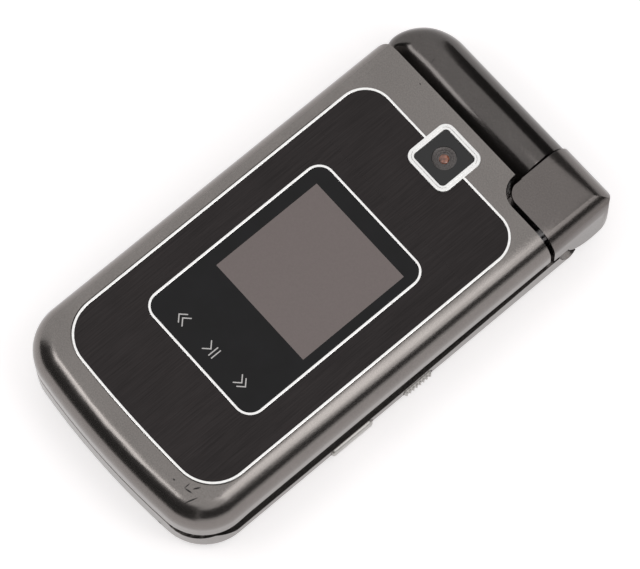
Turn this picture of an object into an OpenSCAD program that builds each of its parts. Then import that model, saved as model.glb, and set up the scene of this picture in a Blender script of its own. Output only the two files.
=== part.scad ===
// Closed flip phone with two hinges: the lid opens upright like a book's cover,
// or sideways over its right edge. It lies on its back: X runs across, +Y points
// to the hinge end, +Z points up through the lid.

/* [Body] */
// Width across the two long sides
body_w = 52; // [50:0.5:54]
// Length from the keypad end to the back of the hinge
body_len = 102; // [98:0.5:108]
// Thickness of the closed phone, without the camera ring
body_t = 16.5; // [16.2:0.1:17.5]
// Corner radius of the plan outline
corner_r = 9.7; // [8.5:0.1:11]
// Radius of the gentle bow of the keypad end
bow_r = 160; // [120:10:300]
// Side wall of the base shell
base_wall = 1.3; // [1:0.1:1.6]
// Radius of the base's lower edge
belly_r = 3.5; // [2.5:0.1:4]
// Height of the base shell's rim
rim_z = 8.3; // [8:0.1:8.5]
// Height of the rim where it dips along the right side
low_rim_z = 5.25; // [5:0.05:6]
// Height of the dipped rim at the hinge
high_rim_z = 7.3; // [6.5:0.1:7.6]
// Distance from the keypad end to the start of the rim's dip
dip_margin = 5.5; // [5:0.5:8]
// Distance from the keypad end to the rim's low stretch
low_rim_margin = 10; // [9:0.5:14]
// Length of the rim's low stretch
low_rim_len = 36; // [30:1:42]
// Small rounding of edges at the parting line
edge_break = 0.3; // [0.2:0.05:0.5]

/* [Lid] */
// Gap between the base rim and the lid's edge
parting_gap = 0.4; // [0.3:0.05:0.6]
// Radius of the lid's upper edge
edge_r = 5; // [4:0.1:5.5]
// Side wall of the lid shell
lid_wall = 1.6; // [1.2:0.1:2]
// Skin of the lid shell under the face plate
lid_skin = 0.8; // [0.6:0.1:1]
// Height of the lid's edge where it lifts along the right side
lifted_edge_z = 9.6; // [9.3:0.1:9.8]
// Width of the lip that hides the inner cover
lip_w = 0.8; // [0.6:0.1:1.2]
// Thickness of the inner cover
inner_cover_t = 1.3; // [1.1:0.1:1.5]
// Distance from the keypad end to where the lid's edge lifts
lift_margin = 7; // [6:0.5:9]
// Length over which the lid's edge lifts
lift_run = 6; // [4:0.5:10]
// Plan radius of the lid's corner beside the barrel
lid_corner_r = 2.5; // [2:0.1:3.5]
// Radius of the lid's rubber bumpers
bumper_r = 1.1; // [0.8:0.1:1.5]

/* [Hinges] */
// Radius of the hinge barrel
barrel_r = 6.25; // [5.8:0.05:6.5]
// Height of the barrel's axis
barrel_z = 8.7; // [8.4:0.1:9]
// Radius of the barrel's rounded end
barrel_end_r = 5.5; // [4:0.1:5.7]
// Gap between the barrel and the lid
barrel_gap = 0.35; // [0.3:0.05:0.6]
// Distance from the barrel's axis to the lid's end face
lid_setback = 5.75; // [5.6:0.05:6]
// Width of the corner block
block_w = 13.8; // [13:0.1:14.5]
// Distance from the barrel's axis to the block's front face
block_reach = 9.4; // [9:0.1:10]
// Plan radius of the block's front corner
block_corner_r = 3; // [2:0.1:3.5]
// Plan radius of the block's outer corner
block_outer_r = 4; // [3:0.1:5]
// Gap between the block and the lid's notch
notch_gap = 1; // [0.8:0.05:1.2]
// Gap between the block and the lid's tongue
tongue_gap = 1.3; // [1.2:0.05:1.5]
// Distance of the sideways axis from the right side
side_axis_in = 4.5; // [4.3:0.1:4.7]
// Depth of the sideways axis below the lid's top
side_axis_drop = 4.5; // [4.4:0.1:4.7]
// Radius of the upright hinge's shaft
shaft_r = 2.2; // [1.8:0.1:2.6]
// Length of the upright hinge's cartridge
cartridge_len = 22; // [16:1:28]
// Outer radius of the upright hinge's cartridge
cartridge_r = 4.2; // [3.4:0.1:4.6]
// Radius of the sideways hinge's shaft
side_shaft_r = 1.4; // [1:0.1:1.6]
// Outer radius of the sideways hinge's cartridge
side_cartridge_r = 2.2; // [1.9:0.1:2.2]
// Length of the sideways hinge's cartridge
side_cartridge_len = 20; // [14:1:26]
// Radial running clearance of both shafts
shaft_play = 0.05; // [0.02:0.01:0.09]
// Metal left beyond the upright shaft's end in the corner block
shaft_cover = 4; // [3:0.5:6]
// Depth of the sideways shaft's seat in the corner block
side_shaft_seat = 4; // [3:0.5:6]
// Depth of the saddle that carries the barrel
saddle_depth = 1.2; // [0.8:0.1:2]
// Distance in front of the barrel's axis where the base ends under the block
heel_gap = 2.9; // [2.5:0.1:3.5]
// Smallest gap between pieces that swing past each other
swing_gap = 0.3; // [0.25:0.05:0.5]

/* [Face plate] */
// Width of the brushed plate with its trim
plate_w = 43; // [40:0.5:44]
// Margin from the lid's keypad end to the plate
plate_margin = 7.3; // [7:0.1:9]
// Margin from the lid's hinge end to the plate
plate_top_margin = 9.4; // [8:0.1:11]
// Corner radius of the plate
plate_r = 8; // [6:0.5:9]
// Radius of the bow of the plate's lower border
plate_bow_r = 260; // [200:10:400]
// Thickness of the plate
plate_t = 0.7; // [0.5:0.1:0.9]
// Width of the polished trim round the plate
plate_trim_w = 0.55; // [0.4:0.05:0.8]
// Height that trims stand proud
trim_proud = 0.08; // [0.04:0.02:0.2]
// Shadow groove round plate and trim
groove_w = 0.2; // [0.1:0.05:0.3]

/* [Outer window] */
// Width of the window with its trim
window_w = 29.8; // [27:0.1:32]
// Length of the window with its trim
window_len = 43; // [40:0.5:46]
// Distance from the plate's upper border to the window
window_drop = 15; // [13.5:0.5:18]
// Corner radius of the window
window_r = 3.3; // [2:0.1:5]
// Width of the window's trim
window_trim_w = 0.5; // [0.3:0.05:0.8]
// Side of the square outer display
outer_lcd = 24; // [22:0.5:26]
// Distance from the window's edge to the outer display
outer_lcd_drop = 3.9; // [3:0.1:5]
// Sideways shift of the outer display
outer_lcd_shift = 0.4; // [-1:0.1:1]
// Border of the outer display's module
outer_lcd_rim = 1.5; // [1:0.1:2]
// Thickness of the outer display's module
outer_lcd_t = 1.4; // [1.2:0.1:1.6]

/* [Camera] */
// Side of the camera ring
camera_side = 9; // [8:0.1:9.6]
// Outer corner radius of the camera ring
camera_corner_r = 1.8; // [1:0.1:2.5]
// Side of the opening in the ring
camera_open = 7.35; // [6.5:0.05:7.8]
// Height of the ring above the lid
camera_proud = 0.4; // [0.2:0.05:0.6]
// Distance of the camera past the plate's border
camera_shift = 1.8; // [1.4:0.1:2.5]
// Radius of the camera's lens barrel
lens_r = 2.2; // [1.8:0.1:2.6]
// Side of the camera module
camera_body = 8; // [7.5:0.1:8.4]
// Clearance round the lens barrel
lens_play = 0.4; // [0.2:0.05:0.6]

/* [Keypad] */
// Number of key columns
key_cols = 3; // [3:1:3]
// Number of key rows
key_rows = 8; // [8:1:8]
// Web of the frame between two keys
key_web = 0.6; // [0.5:0.05:1]
// Clearance round each key
key_gap = 0.15; // [0.1:0.05:0.25]
// Travel of a key
key_travel = 0.35; // [0.25:0.05:0.4]
// Height of the black keypad deck
deck_z = 7.7; // [7.5:0.1:7.8]
// Height of the keys above the deck
key_proud = 0.25; // [0.1:0.05:0.3]
// Corner radius of the keys' cells
key_r = 1; // [0.6:0.1:1.5]
// Thickness of the deck
deck_t = 1; // [0.9:0.05:1.1]
// Margin from the left side to the keys
key_side_margin = 3.8; // [3.4:0.1:5]
// Margin from the keypad end to the keys
key_end_margin = 6; // [5.5:0.1:8]
// Margin from the barrel's axis to the keys
key_hinge_margin = 11.3; // [11:0.1:13]

/* [Side keys] */
// Height of the side keys
side_key_h = 2.2; // [1.8:0.1:2.4]
// Height of the side keys' middle line
side_key_z = 3.5; // [3.3:0.1:3.7]
// How far side keys stand proud
side_key_proud = 0.45; // [0.4:0.05:0.6]
// Travel of the side keys
side_key_travel = 0.3; // [0.2:0.05:0.35]
// Length of the larger key on the right
camera_key_len = 9.6; // [8:0.1:11]
// Length of the ribbed key on the right
voice_key_len = 6.5; // [5.5:0.1:7.5]
// Length of the volume rocker on the left
volume_key_len = 18; // [14:0.5:20]
// Distance from the keypad end to the larger key
camera_key_margin = 32.5; // [28:0.5:36]
// Distance from the keypad end to the ribbed key
voice_key_margin = 49.9; // [46:0.1:54]
// Distance from the keypad end to the volume rocker
volume_key_margin = 60; // [54:1:62]
// Clearance round the side keys
side_key_gap = 0.2; // [0.15:0.05:0.3]
// Corner radius of the side keys
side_key_r = 0.7; // [0.4:0.1:0.9]
// Number of grooves on the ribbed key
voice_grooves = 7; // [5:1:9]
// Radius of the ribbed key's grooves
voice_groove_r = 0.18; // [0.1:0.02:0.25]
// Radius of the groove that parts the volume rocker
rocker_groove_r = 0.3; // [0.2:0.05:0.4]

/* [Back and insides] */
// Width of the battery cover
cover_w = 37; // [34:0.5:38]
// Length of the battery cover
cover_len = 62; // [56:1:66]
// Distance from the keypad end to the battery cover
cover_margin = 8; // [7:0.5:10]
// Corner radius of the battery cover
cover_r = 4; // [3:0.5:6]
// Seam round the battery cover
cover_seam = 0.12; // [0.08:0.02:0.2]
// Thickness of the base's floor and of the cover
floor_t = 1.3; // [1.1:0.1:1.5]
// Thickness of the battery
battery_t = 3.8; // [3.2:0.1:4]
// Thickness of the main board
board_t = 0.8; // [0.6:0.1:0.9]
// Play between the battery and its cover at the keypad end
battery_play = 1; // [0.6:0.1:2]
// Radius of the loudspeaker
speaker_r = 6.5; // [5:0.5:7]
// Height of the loudspeaker
speaker_h = 2.6; // [2:0.1:3]
// Number of sound slots
speaker_slots = 5; // [3:2:5]
// Width of a sound slot
speaker_slot_w = 1; // [0.8:0.1:1.2]
// Length of the middle sound slot
speaker_slot_len = 5; // [4:0.5:7]
// Number of finger grooves in the battery cover
cover_grips = 4; // [2:1:5]
// Spacing of the finger grooves
cover_grip_step = 1.6; // [1.2:0.1:2]
// Length of the finger grooves
cover_grip_len = 10; // [8:1:14]
// Radius of the finger grooves
cover_grip_r = 0.35; // [0.2:0.05:0.5]
// Radius of the screw heads
screw_head_r = 1.3; // [1.1:0.1:1.5]
// Width of the charging connector
port_w = 10; // [8:0.5:12]
// Height of the charging connector
port_h = 2.4; // [2:0.1:2.8]
// Distance from the keypad end to the charging connector
port_margin = 30; // [24:1:36]
// Width of the main display's window
main_window_w = 37; // [34:0.5:38]
// Length of the main display's window
main_window_len = 66; // [60:1:70]
// Corner radius of the main display's window
main_window_r = 2.5; // [2.2:0.1:4]
// Thickness of the main display's window
main_window_t = 0.8; // [0.6:0.1:0.9]
// Border that the main display's window rests on
main_border = 2; // [1.5:0.1:2.5]
// Length of the earpiece
ear_len = 10; // [8:0.5:12]
// Width of the earpiece
ear_w = 2.8; // [2.4:0.1:3.2]
// Thickness of the lid's circuit board
lid_board_t = 0.8; // [0.6:0.1:1]

/* [Hidden] */
$fn = 96;
LONG_FN = 720;
ROLL_FN = 64;
CUT = 1;
SEAT = 0.05;

// Ends, axes and lines that pieces share
half_w = body_w / 2;
y_back = body_len / 2;
y_bot = -y_back;
corner_x = half_w - corner_r;
bow_y = y_bot + bow_r;
corner_y = bow_y - sqrt(pow(bow_r - corner_r, 2) - pow(corner_x, 2));
bow_a = asin(corner_x / (bow_r - corner_r));
axis_y = y_back - barrel_r;
side_x = half_w - side_axis_in;
side_z = body_t - side_axis_drop;

// Lid
lid_end = axis_y - lid_setback;
lid_lo = rim_z + parting_gap;
seat_z = lifted_edge_z;
cover_lo = seat_z - inner_cover_t;
plate_lo = body_t - plate_t;
skin_lo = plate_lo - lid_skin;
block_x = half_w - block_w;
block_front = axis_y - block_reach;
notch_y = block_front - notch_gap;
tongue_x = block_x - tongue_gap;
notch_r = block_corner_r + tongue_gap;
barrel_end = block_x - swing_gap;
tongue_swing = side_x - tongue_x;
cover_swing = norm([half_w - lip_w - side_x, side_z - cover_lo]);
edge_swing = norm([side_axis_in, side_z - seat_z]);
cove_r = max(cover_swing, edge_swing) + swing_gap;
block_z = body_t - barrel_r;
hollow_r = body_t - barrel_z + swing_gap;
cavity_x = side_x - side_cartridge_r - lid_wall;

// Plate, window and camera
plate_y0 = y_bot + plate_margin;
plate_y1 = lid_end - plate_top_margin;
window_y1 = plate_y1 - window_drop;
window_y0 = window_y1 - window_len;
lcd_y = window_y1 - outer_lcd_drop - outer_lcd / 2;
camera_y = plate_y1 + camera_shift;
camera_wall = (camera_side - camera_open) / 2;

// Inside of the lid
main_x = (key_side_margin - half_w + cavity_x) / 2;
main_y0 = plate_y0 + 1;
main_display_t = seat_z - cover_lo - main_window_t + 1.2;
ear_x = -(camera_side + ear_len) / 2 - 1.5;
ear_y = lid_end - 3.8;
ear_t = 1.4;
ear_slot_len = 0.7 * ear_len;
ear_slot_w = 1;
bumper_t = parting_gap;
bumper_in = 5;
lid_board_half = 15;
lid_board_z = cover_lo + main_window_t + main_display_t + 2 * SEAT;
lcd_foot = 2 * outer_lcd_rim;
camera_room = camera_body + 1;
camera_lo = seat_z + 0.6;

// Keypad and board
key_x0 = key_side_margin - half_w;
key_x1 = side_x - sqrt(pow(cove_r, 2) - pow(side_z - deck_z, 2)) - key_web;
key_y0 = y_bot + key_end_margin;
key_y1 = axis_y - key_hinge_margin;
key_dx = (key_x1 - key_x0) / key_cols;
key_dy = (key_y1 - key_y0) / key_rows;
deck_lo = deck_z - deck_t;
frame_lo = floor_t + battery_t + board_t - SEAT;
battery_z = floor_t + SEAT;
board_z = battery_z + battery_t + 3 * SEAT;
sheet_z = board_z + board_t;
sheet_t = deck_lo - key_travel - 2 * SEAT - sheet_z;
sheet_in = 0.5;
key_hall = 0.3;
board_corner = 6;
base_end = axis_y + belly_r + swing_gap;
saddle_z = barrel_z - barrel_r + saddle_depth;
cavity_end = axis_y - block_reach + 0.4;

// Side keys
camera_key_y = y_bot + camera_key_margin;
voice_key_y = y_bot + voice_key_margin;
volume_key_y = y_bot + volume_key_margin;
side_key_in = 2.4;
side_room_in = side_key_in + side_key_travel + 0.2;

// Back
cover_y0 = y_bot + cover_margin;
cover_y1 = cover_y0 + cover_len;
cover_grip_y = cover_y1 - 5;
speaker_y = cover_y1 + speaker_r + 2;
speaker_lip = 1;
screw_r = screw_head_r / 2;
screw_head_z = 0.25;
screw_head_t = 0.75;
screw_grip = 0.4;
screw_cross = 1.6;
screw_cross_w = 0.3;
boss_r = 1.7;
screw_back_y = cavity_end - 1;
screw_places = [
    [-cover_w / 4, y_bot + belly_r + 0.3], [cover_w / 4, y_bot + belly_r + 0.3],
    [-cover_w / 2 - 2.4, screw_back_y], [cover_w / 2 + 2.4, screw_back_y]
];
mic_x = corner_x - 1;
mic_hole_r = 0.45;
mic_r = 1.6;
mic_len = 1.6;
mic_wall_y = bow_y - sqrt(pow(bow_r - base_wall, 2) - pow(mic_x, 2));
port_y = y_bot + port_margin;
port_z = 3.6;
port_wall = 0.3;
port_set_in = 0.4;
port_x_in = -cover_w / 2 - 0.4;

function key_name(row, col) = str("key_r", row, "c", col);

KEYS = [for (row = [1:key_rows], col = [1:key_cols]) key_name(row, col)];

// ---- Shared shapes ----

// Rectangle with round corners, from a corner at [x0, y0] to [x1, y1]
module round_rect(x0, y0, x1, y1, r) {
    translate([x0 + r, y0]) square([x1 - x0 - 2 * r, y1 - y0]);
    translate([x0, y0 + r]) square([x1 - x0, y1 - y0 - 2 * r]);
    for (x = [x0 + r, x1 - r], y = [y0 + r, y1 - r]) translate([x, y]) circle(r);
}

// Round rectangle centred on x = 0 whose lower side bows outwards
module bowed_rect(w, y0, y1, r, bow) {
    cx = w / 2 - r;
    top = y0 + bow;
    cy = top - sqrt(pow(bow - r, 2) - pow(cx, 2));
    translate([-w / 2, cy]) square([w, y1 - r - cy]);
    translate([-cx, cy]) square([2 * cx, y1 - cy]);
    for (x = [-cx, cx], y = [cy, y1 - r]) translate([x, y]) circle(r);
    intersection() {
        translate([-cx, y0 - CUT]) square([2 * cx, cy - y0 + 2 * CUT]);
        translate([0, top]) circle(bow, $fn = LONG_FN);
    }
}

// What a round edge takes away from a square one
module edge_cut(r) {
    difference() {
        square(r + CUT);
        circle(r);
    }
}

// Section of a rim: u runs outwards from the corner's centre, then height
module rim_section(rc, z0, z1, r_top, r_bot) {
    difference() {
        translate([0, z0]) square([rc, z1 - z0]);
        if (r_top > 0) translate([rc - r_top, z1 - r_top]) edge_cut(r_top);
        if (r_bot > 0) translate([rc - r_bot, z0 + r_bot]) mirror([0, 1]) edge_cut(r_bot);
    }
}

// The phone's outline, drawn in by inset, up to a straight end at y1
module outline(inset, y1) {
    rc = corner_r - inset;
    w = half_w - inset;
    bow = bow_r - inset;
    tx = bow * sin(bow_a);
    translate([-w, corner_y]) square([2 * w, y1 - corner_y]);
    translate([-corner_x, corner_y - rc / 2]) square([2 * corner_x, rc]);
    for (x = [-corner_x, corner_x]) translate([x, corner_y]) circle(rc);
    intersection() {
        translate([-tx, y_bot]) square([2 * tx, corner_y - y_bot]);
        translate([0, bow_y]) circle(bow, $fn = LONG_FN);
    }
}

// Slab with the phone's outline and upright sides
module slab(inset, z0, z1, y1) {
    translate([0, 0, z0]) linear_extrude(z1 - z0) outline(inset, y1);
}

// Slab with the phone's outline and round edges: its rim's section goes down both
// sides, round the corners and along the bow of the keypad end
module rolled_slab(z0, z1, y1, r_top, r_bot) {
    hull() {
        for (side = [0, 1]) mirror([side, 0, 0]) {
            translate([corner_x, y1, 0]) rotate([90, 0, 0]) linear_extrude(SEAT)
                rim_section(corner_r, z0, z1, r_top, r_bot, $fn = ROLL_FN);
            translate([corner_x, corner_y, 0]) rotate_extrude($fn = ROLL_FN)
                rim_section(corner_r, z0, z1, r_top, r_bot);
        }
        translate([0, bow_y, 0]) rotate([0, 0, -90 - bow_a])
            rotate_extrude(angle = 2 * bow_a, $fn = LONG_FN / 3) translate([bow_r - corner_r, 0])
            rim_section(corner_r, z0, z1, r_top, r_bot, $fn = ROLL_FN);
    }
}

// Bar across the phone with a section drawn as [y, z]
module along_x(x0, x1) {
    translate([x0, 0, 0]) rotate([90, 0, 90]) linear_extrude(x1 - x0) children();
}

// Bar along the phone with a section drawn as [x, z]
module along_y(y0, y1) {
    translate([0, y1, 0]) rotate([90, 0, 0]) linear_extrude(y1 - y0) children();
}

module block_box(x0, y0, z0, x1, y1, z1) {
    translate([x0, y0, z0]) cube([x1 - x0, y1 - y0, z1 - z0]);
}

module barrel_rod(x0, x1, r) {
    translate([x0, axis_y, barrel_z]) rotate([0, 90, 0]) cylinder(h = x1 - x0, r = r);
}

module side_rod(y0, y1, r) {
    translate([side_x, y1, side_z]) rotate([90, 0, 0]) cylinder(h = y1 - y0, r = r);
}

// ---- Base ----

// Dip of the base shell's rim along the right side
module rim_dip() {
    along_x(side_x - cove_r, half_w + CUT) polygon([
        [y_bot + dip_margin - 1.5, rim_z + CUT], [y_bot + dip_margin, rim_z - edge_break],
        [y_bot + low_rim_margin, low_rim_z], [y_bot + low_rim_margin + low_rim_len, low_rim_z],
        [block_front + 3, high_rim_z], [y_back, high_rim_z], [y_back, rim_z + CUT]
    ]);
}

// Room under the sideways hinge for the lid's right edge
module cove() {
    side_rod(y_bot - CUT, y_back + CUT, cove_r);
}

// Room for the barrel, the swinging corner block and the lid's end
module hinge_room() {
    mid = barrel_end + swing_gap / 2;
    barrel_rod(-half_w - CUT, mid, barrel_r);
    barrel_rod(mid, half_w + CUT, hollow_r);
    block_box(mid, axis_y - heel_gap, -CUT, half_w + CUT, y_back + CUT, body_t);
    block_box(-half_w - CUT, axis_y, saddle_z, half_w, y_back + CUT, body_t);
}

module back_corner_cut() {
    translate([0, 0, -CUT]) linear_extrude(body_t) difference() {
        translate([-half_w - CUT, y_back - corner_r]) square([corner_r + CUT, corner_r + CUT]);
        translate([corner_r - half_w, base_end - corner_r]) circle(corner_r);
    }
}

module back_edge_cut() {
    along_x(-half_w - CUT, half_w + CUT) translate([base_end - belly_r, belly_r])
        mirror([0, 1]) edge_cut(belly_r);
}

module battery_cover_outline(seam) {
    round_rect(-cover_w / 2 - seam, cover_y0 - seam, cover_w / 2 + seam, cover_y1 + seam, cover_r);
}

module base_shell() {
    color("#6f6b68") difference() {
        rolled_slab(0, rim_z, base_end, edge_break, belly_r);
        difference() {
            slab(base_wall, floor_t, rim_z + CUT, cavity_end);
            at_screws() cylinder(h = frame_lo, r = boss_r);
        }
        block_box(-half_w + base_wall, cavity_end - CUT, deck_z, half_w, axis_y, body_t);
        rim_dip();
        cove();
        hinge_room();
        back_corner_cut();
        back_edge_cut();
        translate([0, 0, -CUT]) linear_extrude(floor_t + 2 * CUT) battery_cover_outline(cover_seam);
        side_key_room(1, camera_key_y, camera_key_len);
        side_key_room(1, voice_key_y, voice_key_len);
        side_key_room(-1, volume_key_y, volume_key_len);
        block_box(-half_w - CUT, port_y - port_w / 2, port_z - port_h / 2,
            -half_w + base_wall + CUT, port_y + port_w / 2, port_z + port_h / 2);
        translate([mic_x, y_bot + base_wall + CUT, side_key_z]) rotate([90, 0, 0])
            cylinder(h = base_wall + 2 * CUT, r = mic_hole_r);
        speaker_holes();
        at_screws() translate([0, 0, -CUT]) {
            cylinder(h = CUT + screw_head_z + screw_head_t, r = screw_head_r);
            cylinder(h = CUT + rim_z, r = screw_r);
        }
    }
}

module at_screws() {
    for (place = screw_places) translate(concat(place, [0])) children();
}

module speaker_holes() {
    w = speaker_slot_w / 2;
    for (i = [0:speaker_slots - 1]) {
        off = i - (speaker_slots - 1) / 2;
        len = (speaker_slot_len - abs(off) * speaker_slot_w) / 2;
        translate([off * 2 * speaker_slot_w, speaker_y, -CUT]) linear_extrude(floor_t + 2 * CUT)
            round_rect(-w, -len, w, len, w - SEAT);
    }
}

module battery_cover() {
    color("#5a5755") difference() {
        linear_extrude(floor_t) battery_cover_outline(0);
        for (i = [0:cover_grips - 1])
            translate([-cover_grip_len / 2, cover_grip_y - i * cover_grip_step, 0])
            rotate([0, 90, 0]) cylinder(h = cover_grip_len, r = cover_grip_r);
    }
}

module battery() {
    color("#2f3a45") translate([0, 0, battery_z]) linear_extrude(battery_t)
        round_rect(2 * battery_play - cover_w / 2, cover_y0 + battery_play,
            cover_w / 2 - 2 * battery_play, cover_y1 - 4 * battery_play, battery_t / 2 - 0.4);
}

module main_board() {
    color("#1e5b3a") difference() {
        block_box(key_x0, key_y0, board_z, key_x1, key_y1 - sheet_in, sheet_z);
        block_box(key_x0 - CUT, key_y0 - CUT, board_z - CUT,
            key_x0 + board_corner, key_y0 + board_corner, sheet_z + CUT);
    }
}

module key_sheet() {
    color("#b9b7b2") block_box(key_x0 + sheet_in, key_y0 + board_corner, sheet_z,
        key_x1 - sheet_in, key_y1 - sheet_in, sheet_z + sheet_t);
}

module keypad_frame() {
    color("#141414") difference() {
        slab(base_wall, frame_lo, deck_z, cavity_end - SEAT);
        block_box(key_x0 - key_hall, key_y0 - key_hall, frame_lo - CUT,
            key_x1 + key_gap, key_y1 + key_hall, deck_lo);
        cove();
        for (row = [1:key_rows], col = [1:key_cols]) key_prism(row, col, 0, frame_lo, deck_z + CUT);
        at_screws() cylinder(h = frame_lo + screw_grip, r = screw_r);
    }
}

// Prism in a key's cell; grow is negative for the cap and 0 for its hole
module key_prism(row, col, grow, z0, z1) {
    x0 = key_x0 + (col - 1) * key_dx + key_web / 2;
    y0 = key_y1 - row * key_dy + key_web / 2;
    translate([0, 0, z0]) linear_extrude(z1 - z0)
        round_rect(x0 - grow, y0 - grow, x0 + key_dx - key_web + grow,
            y0 + key_dy - key_web + grow, key_r);
}

module key_cap(row, col) {
    color("#2b2b2d") key_prism(row, col, -key_gap, deck_lo + SEAT, deck_z + key_proud);
}

module hinge_barrel() {
    color("#55514f") difference() {
        translate([-half_w, axis_y, barrel_z]) rotate([0, 90, 0]) rotate_extrude() intersection() {
            square([barrel_r, barrel_end + half_w]);
            union() {
                translate([0, barrel_end_r]) square([barrel_r, barrel_end + half_w]);
                square([barrel_r - barrel_end_r, barrel_end_r + CUT]);
                translate([barrel_r - barrel_end_r, barrel_end_r]) circle(barrel_end_r);
            }
        }
        barrel_rod(barrel_end - cartridge_len, barrel_end + CUT, cartridge_r);
    }
}

module portrait_cartridge() {
    color("#8d8d92") difference() {
        barrel_rod(barrel_end - cartridge_len, barrel_end, cartridge_r);
        barrel_rod(barrel_end - cartridge_len - CUT, barrel_end + CUT, shaft_r + shaft_play);
    }
}

module charging_connector() {
    w = port_w / 2;
    h = port_h / 2;
    color("#9a9a9d") difference() {
        block_box(-half_w + port_set_in, port_y - w, port_z - h, port_x_in, port_y + w, port_z + h);
        block_box(-half_w - CUT, port_y - w + port_wall, port_z - h + port_wall,
            port_x_in - 3 * port_wall, port_y + w - port_wall, port_z + h - port_wall);
    }
}

module loudspeaker() {
    color("#3a3a3a") translate([0, speaker_y, floor_t]) difference() {
        cylinder(h = speaker_h, r = speaker_r);
        translate([0, 0, -CUT]) cylinder(h = CUT + speaker_lip / 2, r = speaker_r - speaker_lip);
    }
}

module microphone() {
    color("#8a8a8a") translate([mic_x, mic_wall_y + 4 * SEAT, side_key_z]) rotate([-90, 0, 0])
        cylinder(h = mic_len, r = mic_r);
}

module base_screws() {
    color("#3c3c3e") at_screws() difference() {
        union() {
            translate([0, 0, screw_head_z]) cylinder(h = screw_head_t, r = screw_head_r);
            cylinder(h = frame_lo + screw_grip, r = screw_r);
        }
        translate([0, 0, -CUT]) cylinder(h = CUT + screw_head_z, r = screw_head_r);
        for (turn = [0, 90]) rotate([0, 0, turn])
            translate([-screw_cross / 2, -screw_cross_w / 2, 0])
            cube([screw_cross, screw_cross_w, screw_head_z + screw_head_t / 2]);
    }
}

// ---- Side keys ----

module side_key_room(side, y, len) {
    gap = side_key_gap;
    x0 = side > 0 ? half_w - side_room_in : -half_w - CUT;
    along_x(x0, x0 + side_room_in + CUT)
        round_rect(y - gap, side_key_z - side_key_h / 2 - gap,
            y + len + gap, side_key_z + side_key_h / 2 + gap, side_key_r + gap / 2);
}

module side_key(side, y, len) {
    proud = side_key_proud;
    x0 = side > 0 ? half_w - side_key_in + 1 : -half_w - proud;
    along_x(x0, x0 + side_key_in - 1 + proud)
        round_rect(y, side_key_z - side_key_h / 2, y + len, side_key_z + side_key_h / 2, side_key_r);
}

module volume_key() {
    color("#a9a6a2") difference() {
        side_key(-1, volume_key_y, volume_key_len);
        translate([-half_w - side_key_proud, volume_key_y + volume_key_len / 2, 0])
            cylinder(h = rim_z, r = rocker_groove_r);
    }
}

module camera_key() {
    color("#b5b2ae") side_key(1, camera_key_y, camera_key_len);
}

module voice_key() {
    step = voice_key_len / (voice_grooves + 1);
    color("#8a8683") difference() {
        side_key(1, voice_key_y, voice_key_len);
        for (i = [1:voice_grooves]) translate([half_w + side_key_proud, voice_key_y + i * step, 0])
            cylinder(h = rim_z, r = voice_groove_r);
    }
}

// ---- Corner block ----

module block_side_view() {
    translate([block_front, rim_z]) square([axis_y - block_front, body_t - rim_z]);
    translate([axis_y, block_z]) circle(barrel_r);
}

module block_plan() {
    difference() {
        translate([block_x, block_front]) square([block_w, y_back - block_front]);
        translate([block_x + block_corner_r, block_front + block_corner_r]) rotate([0, 0, 180])
            edge_cut(block_corner_r);
        translate([half_w - block_outer_r, y_back - block_outer_r]) edge_cut(block_outer_r);
    }
}

module block_end_view() {
    difference() {
        square([half_w, body_t]);
        translate([half_w - edge_r, body_t - edge_r]) edge_cut(edge_r);
    }
}

module corner_block() {
    color("#6f6b68") difference() {
        intersection() {
            along_x(block_x, half_w) block_side_view();
            linear_extrude(body_t) block_plan();
            along_y(block_front, y_back) block_end_view();
        }
        difference() {
            block_box(block_x - CUT, block_front - CUT, 0, side_x - CUT, lid_end + swing_gap, body_t + CUT);
            side_rod(block_front - 2 * CUT, lid_end + 2 * CUT, tongue_swing - swing_gap - 2 * SEAT);
        }
        barrel_rod(block_x - CUT, half_w - shaft_cover, shaft_r);
        side_rod(block_front - CUT, block_front + side_shaft_seat, side_shaft_r);
    }
}

module portrait_shaft() {
    color("#c4c4c6") barrel_rod(barrel_end - cartridge_len + SEAT, half_w - shaft_cover, shaft_r);
}

module landscape_shaft() {
    color("#c4c4c6")
        side_rod(notch_y - side_cartridge_len + SEAT, block_front + side_shaft_seat, side_shaft_r);
}

// ---- Lid ----

// The notch that the corner block fills, with its round inner corner
module notch() {
    translate([0, 0, -CUT]) linear_extrude(body_t + 2 * CUT) difference() {
        translate([tongue_x, notch_y]) square([half_w, y_back]);
        translate([tongue_x + notch_r, notch_y + notch_r]) rotate([0, 0, 180]) edge_cut(notch_r);
    }
}

module lid_corner_cut() {
    r = lid_corner_r;
    translate([r - half_w, lid_end - r, -CUT]) linear_extrude(body_t + 2 * CUT)
        mirror([1, 0]) edge_cut(r);
}

// Lift of the lid's lower edge along the right side
module edge_lift() {
    along_x(side_x, half_w + CUT) polygon([
        [y_bot + lift_margin - 1, lid_lo - CUT], [y_bot + lift_margin, lid_lo + 2 * SEAT],
        [y_bot + lift_margin + lift_run, lifted_edge_z],
        [y_back, lifted_edge_z], [y_back, lid_lo - CUT]
    ]);
}

module lid_end_cuts() {
    notch();
    lid_corner_cut();
    barrel_rod(-half_w - CUT, half_w, barrel_r + barrel_gap);
}

module plate_outline(inset) {
    bowed_rect(plate_w - 2 * inset, plate_y0 + inset, plate_y1 - inset, plate_r - inset,
        plate_bow_r - inset);
}

module window_outline(inset) {
    round_rect(inset - window_w / 2, window_y0 + inset, window_w / 2 - inset, window_y1 - inset,
        window_r - inset);
}

module camera_outline(side, r) {
    round_rect(-side / 2, camera_y - side / 2, side / 2, camera_y + side / 2, r);
}

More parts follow.
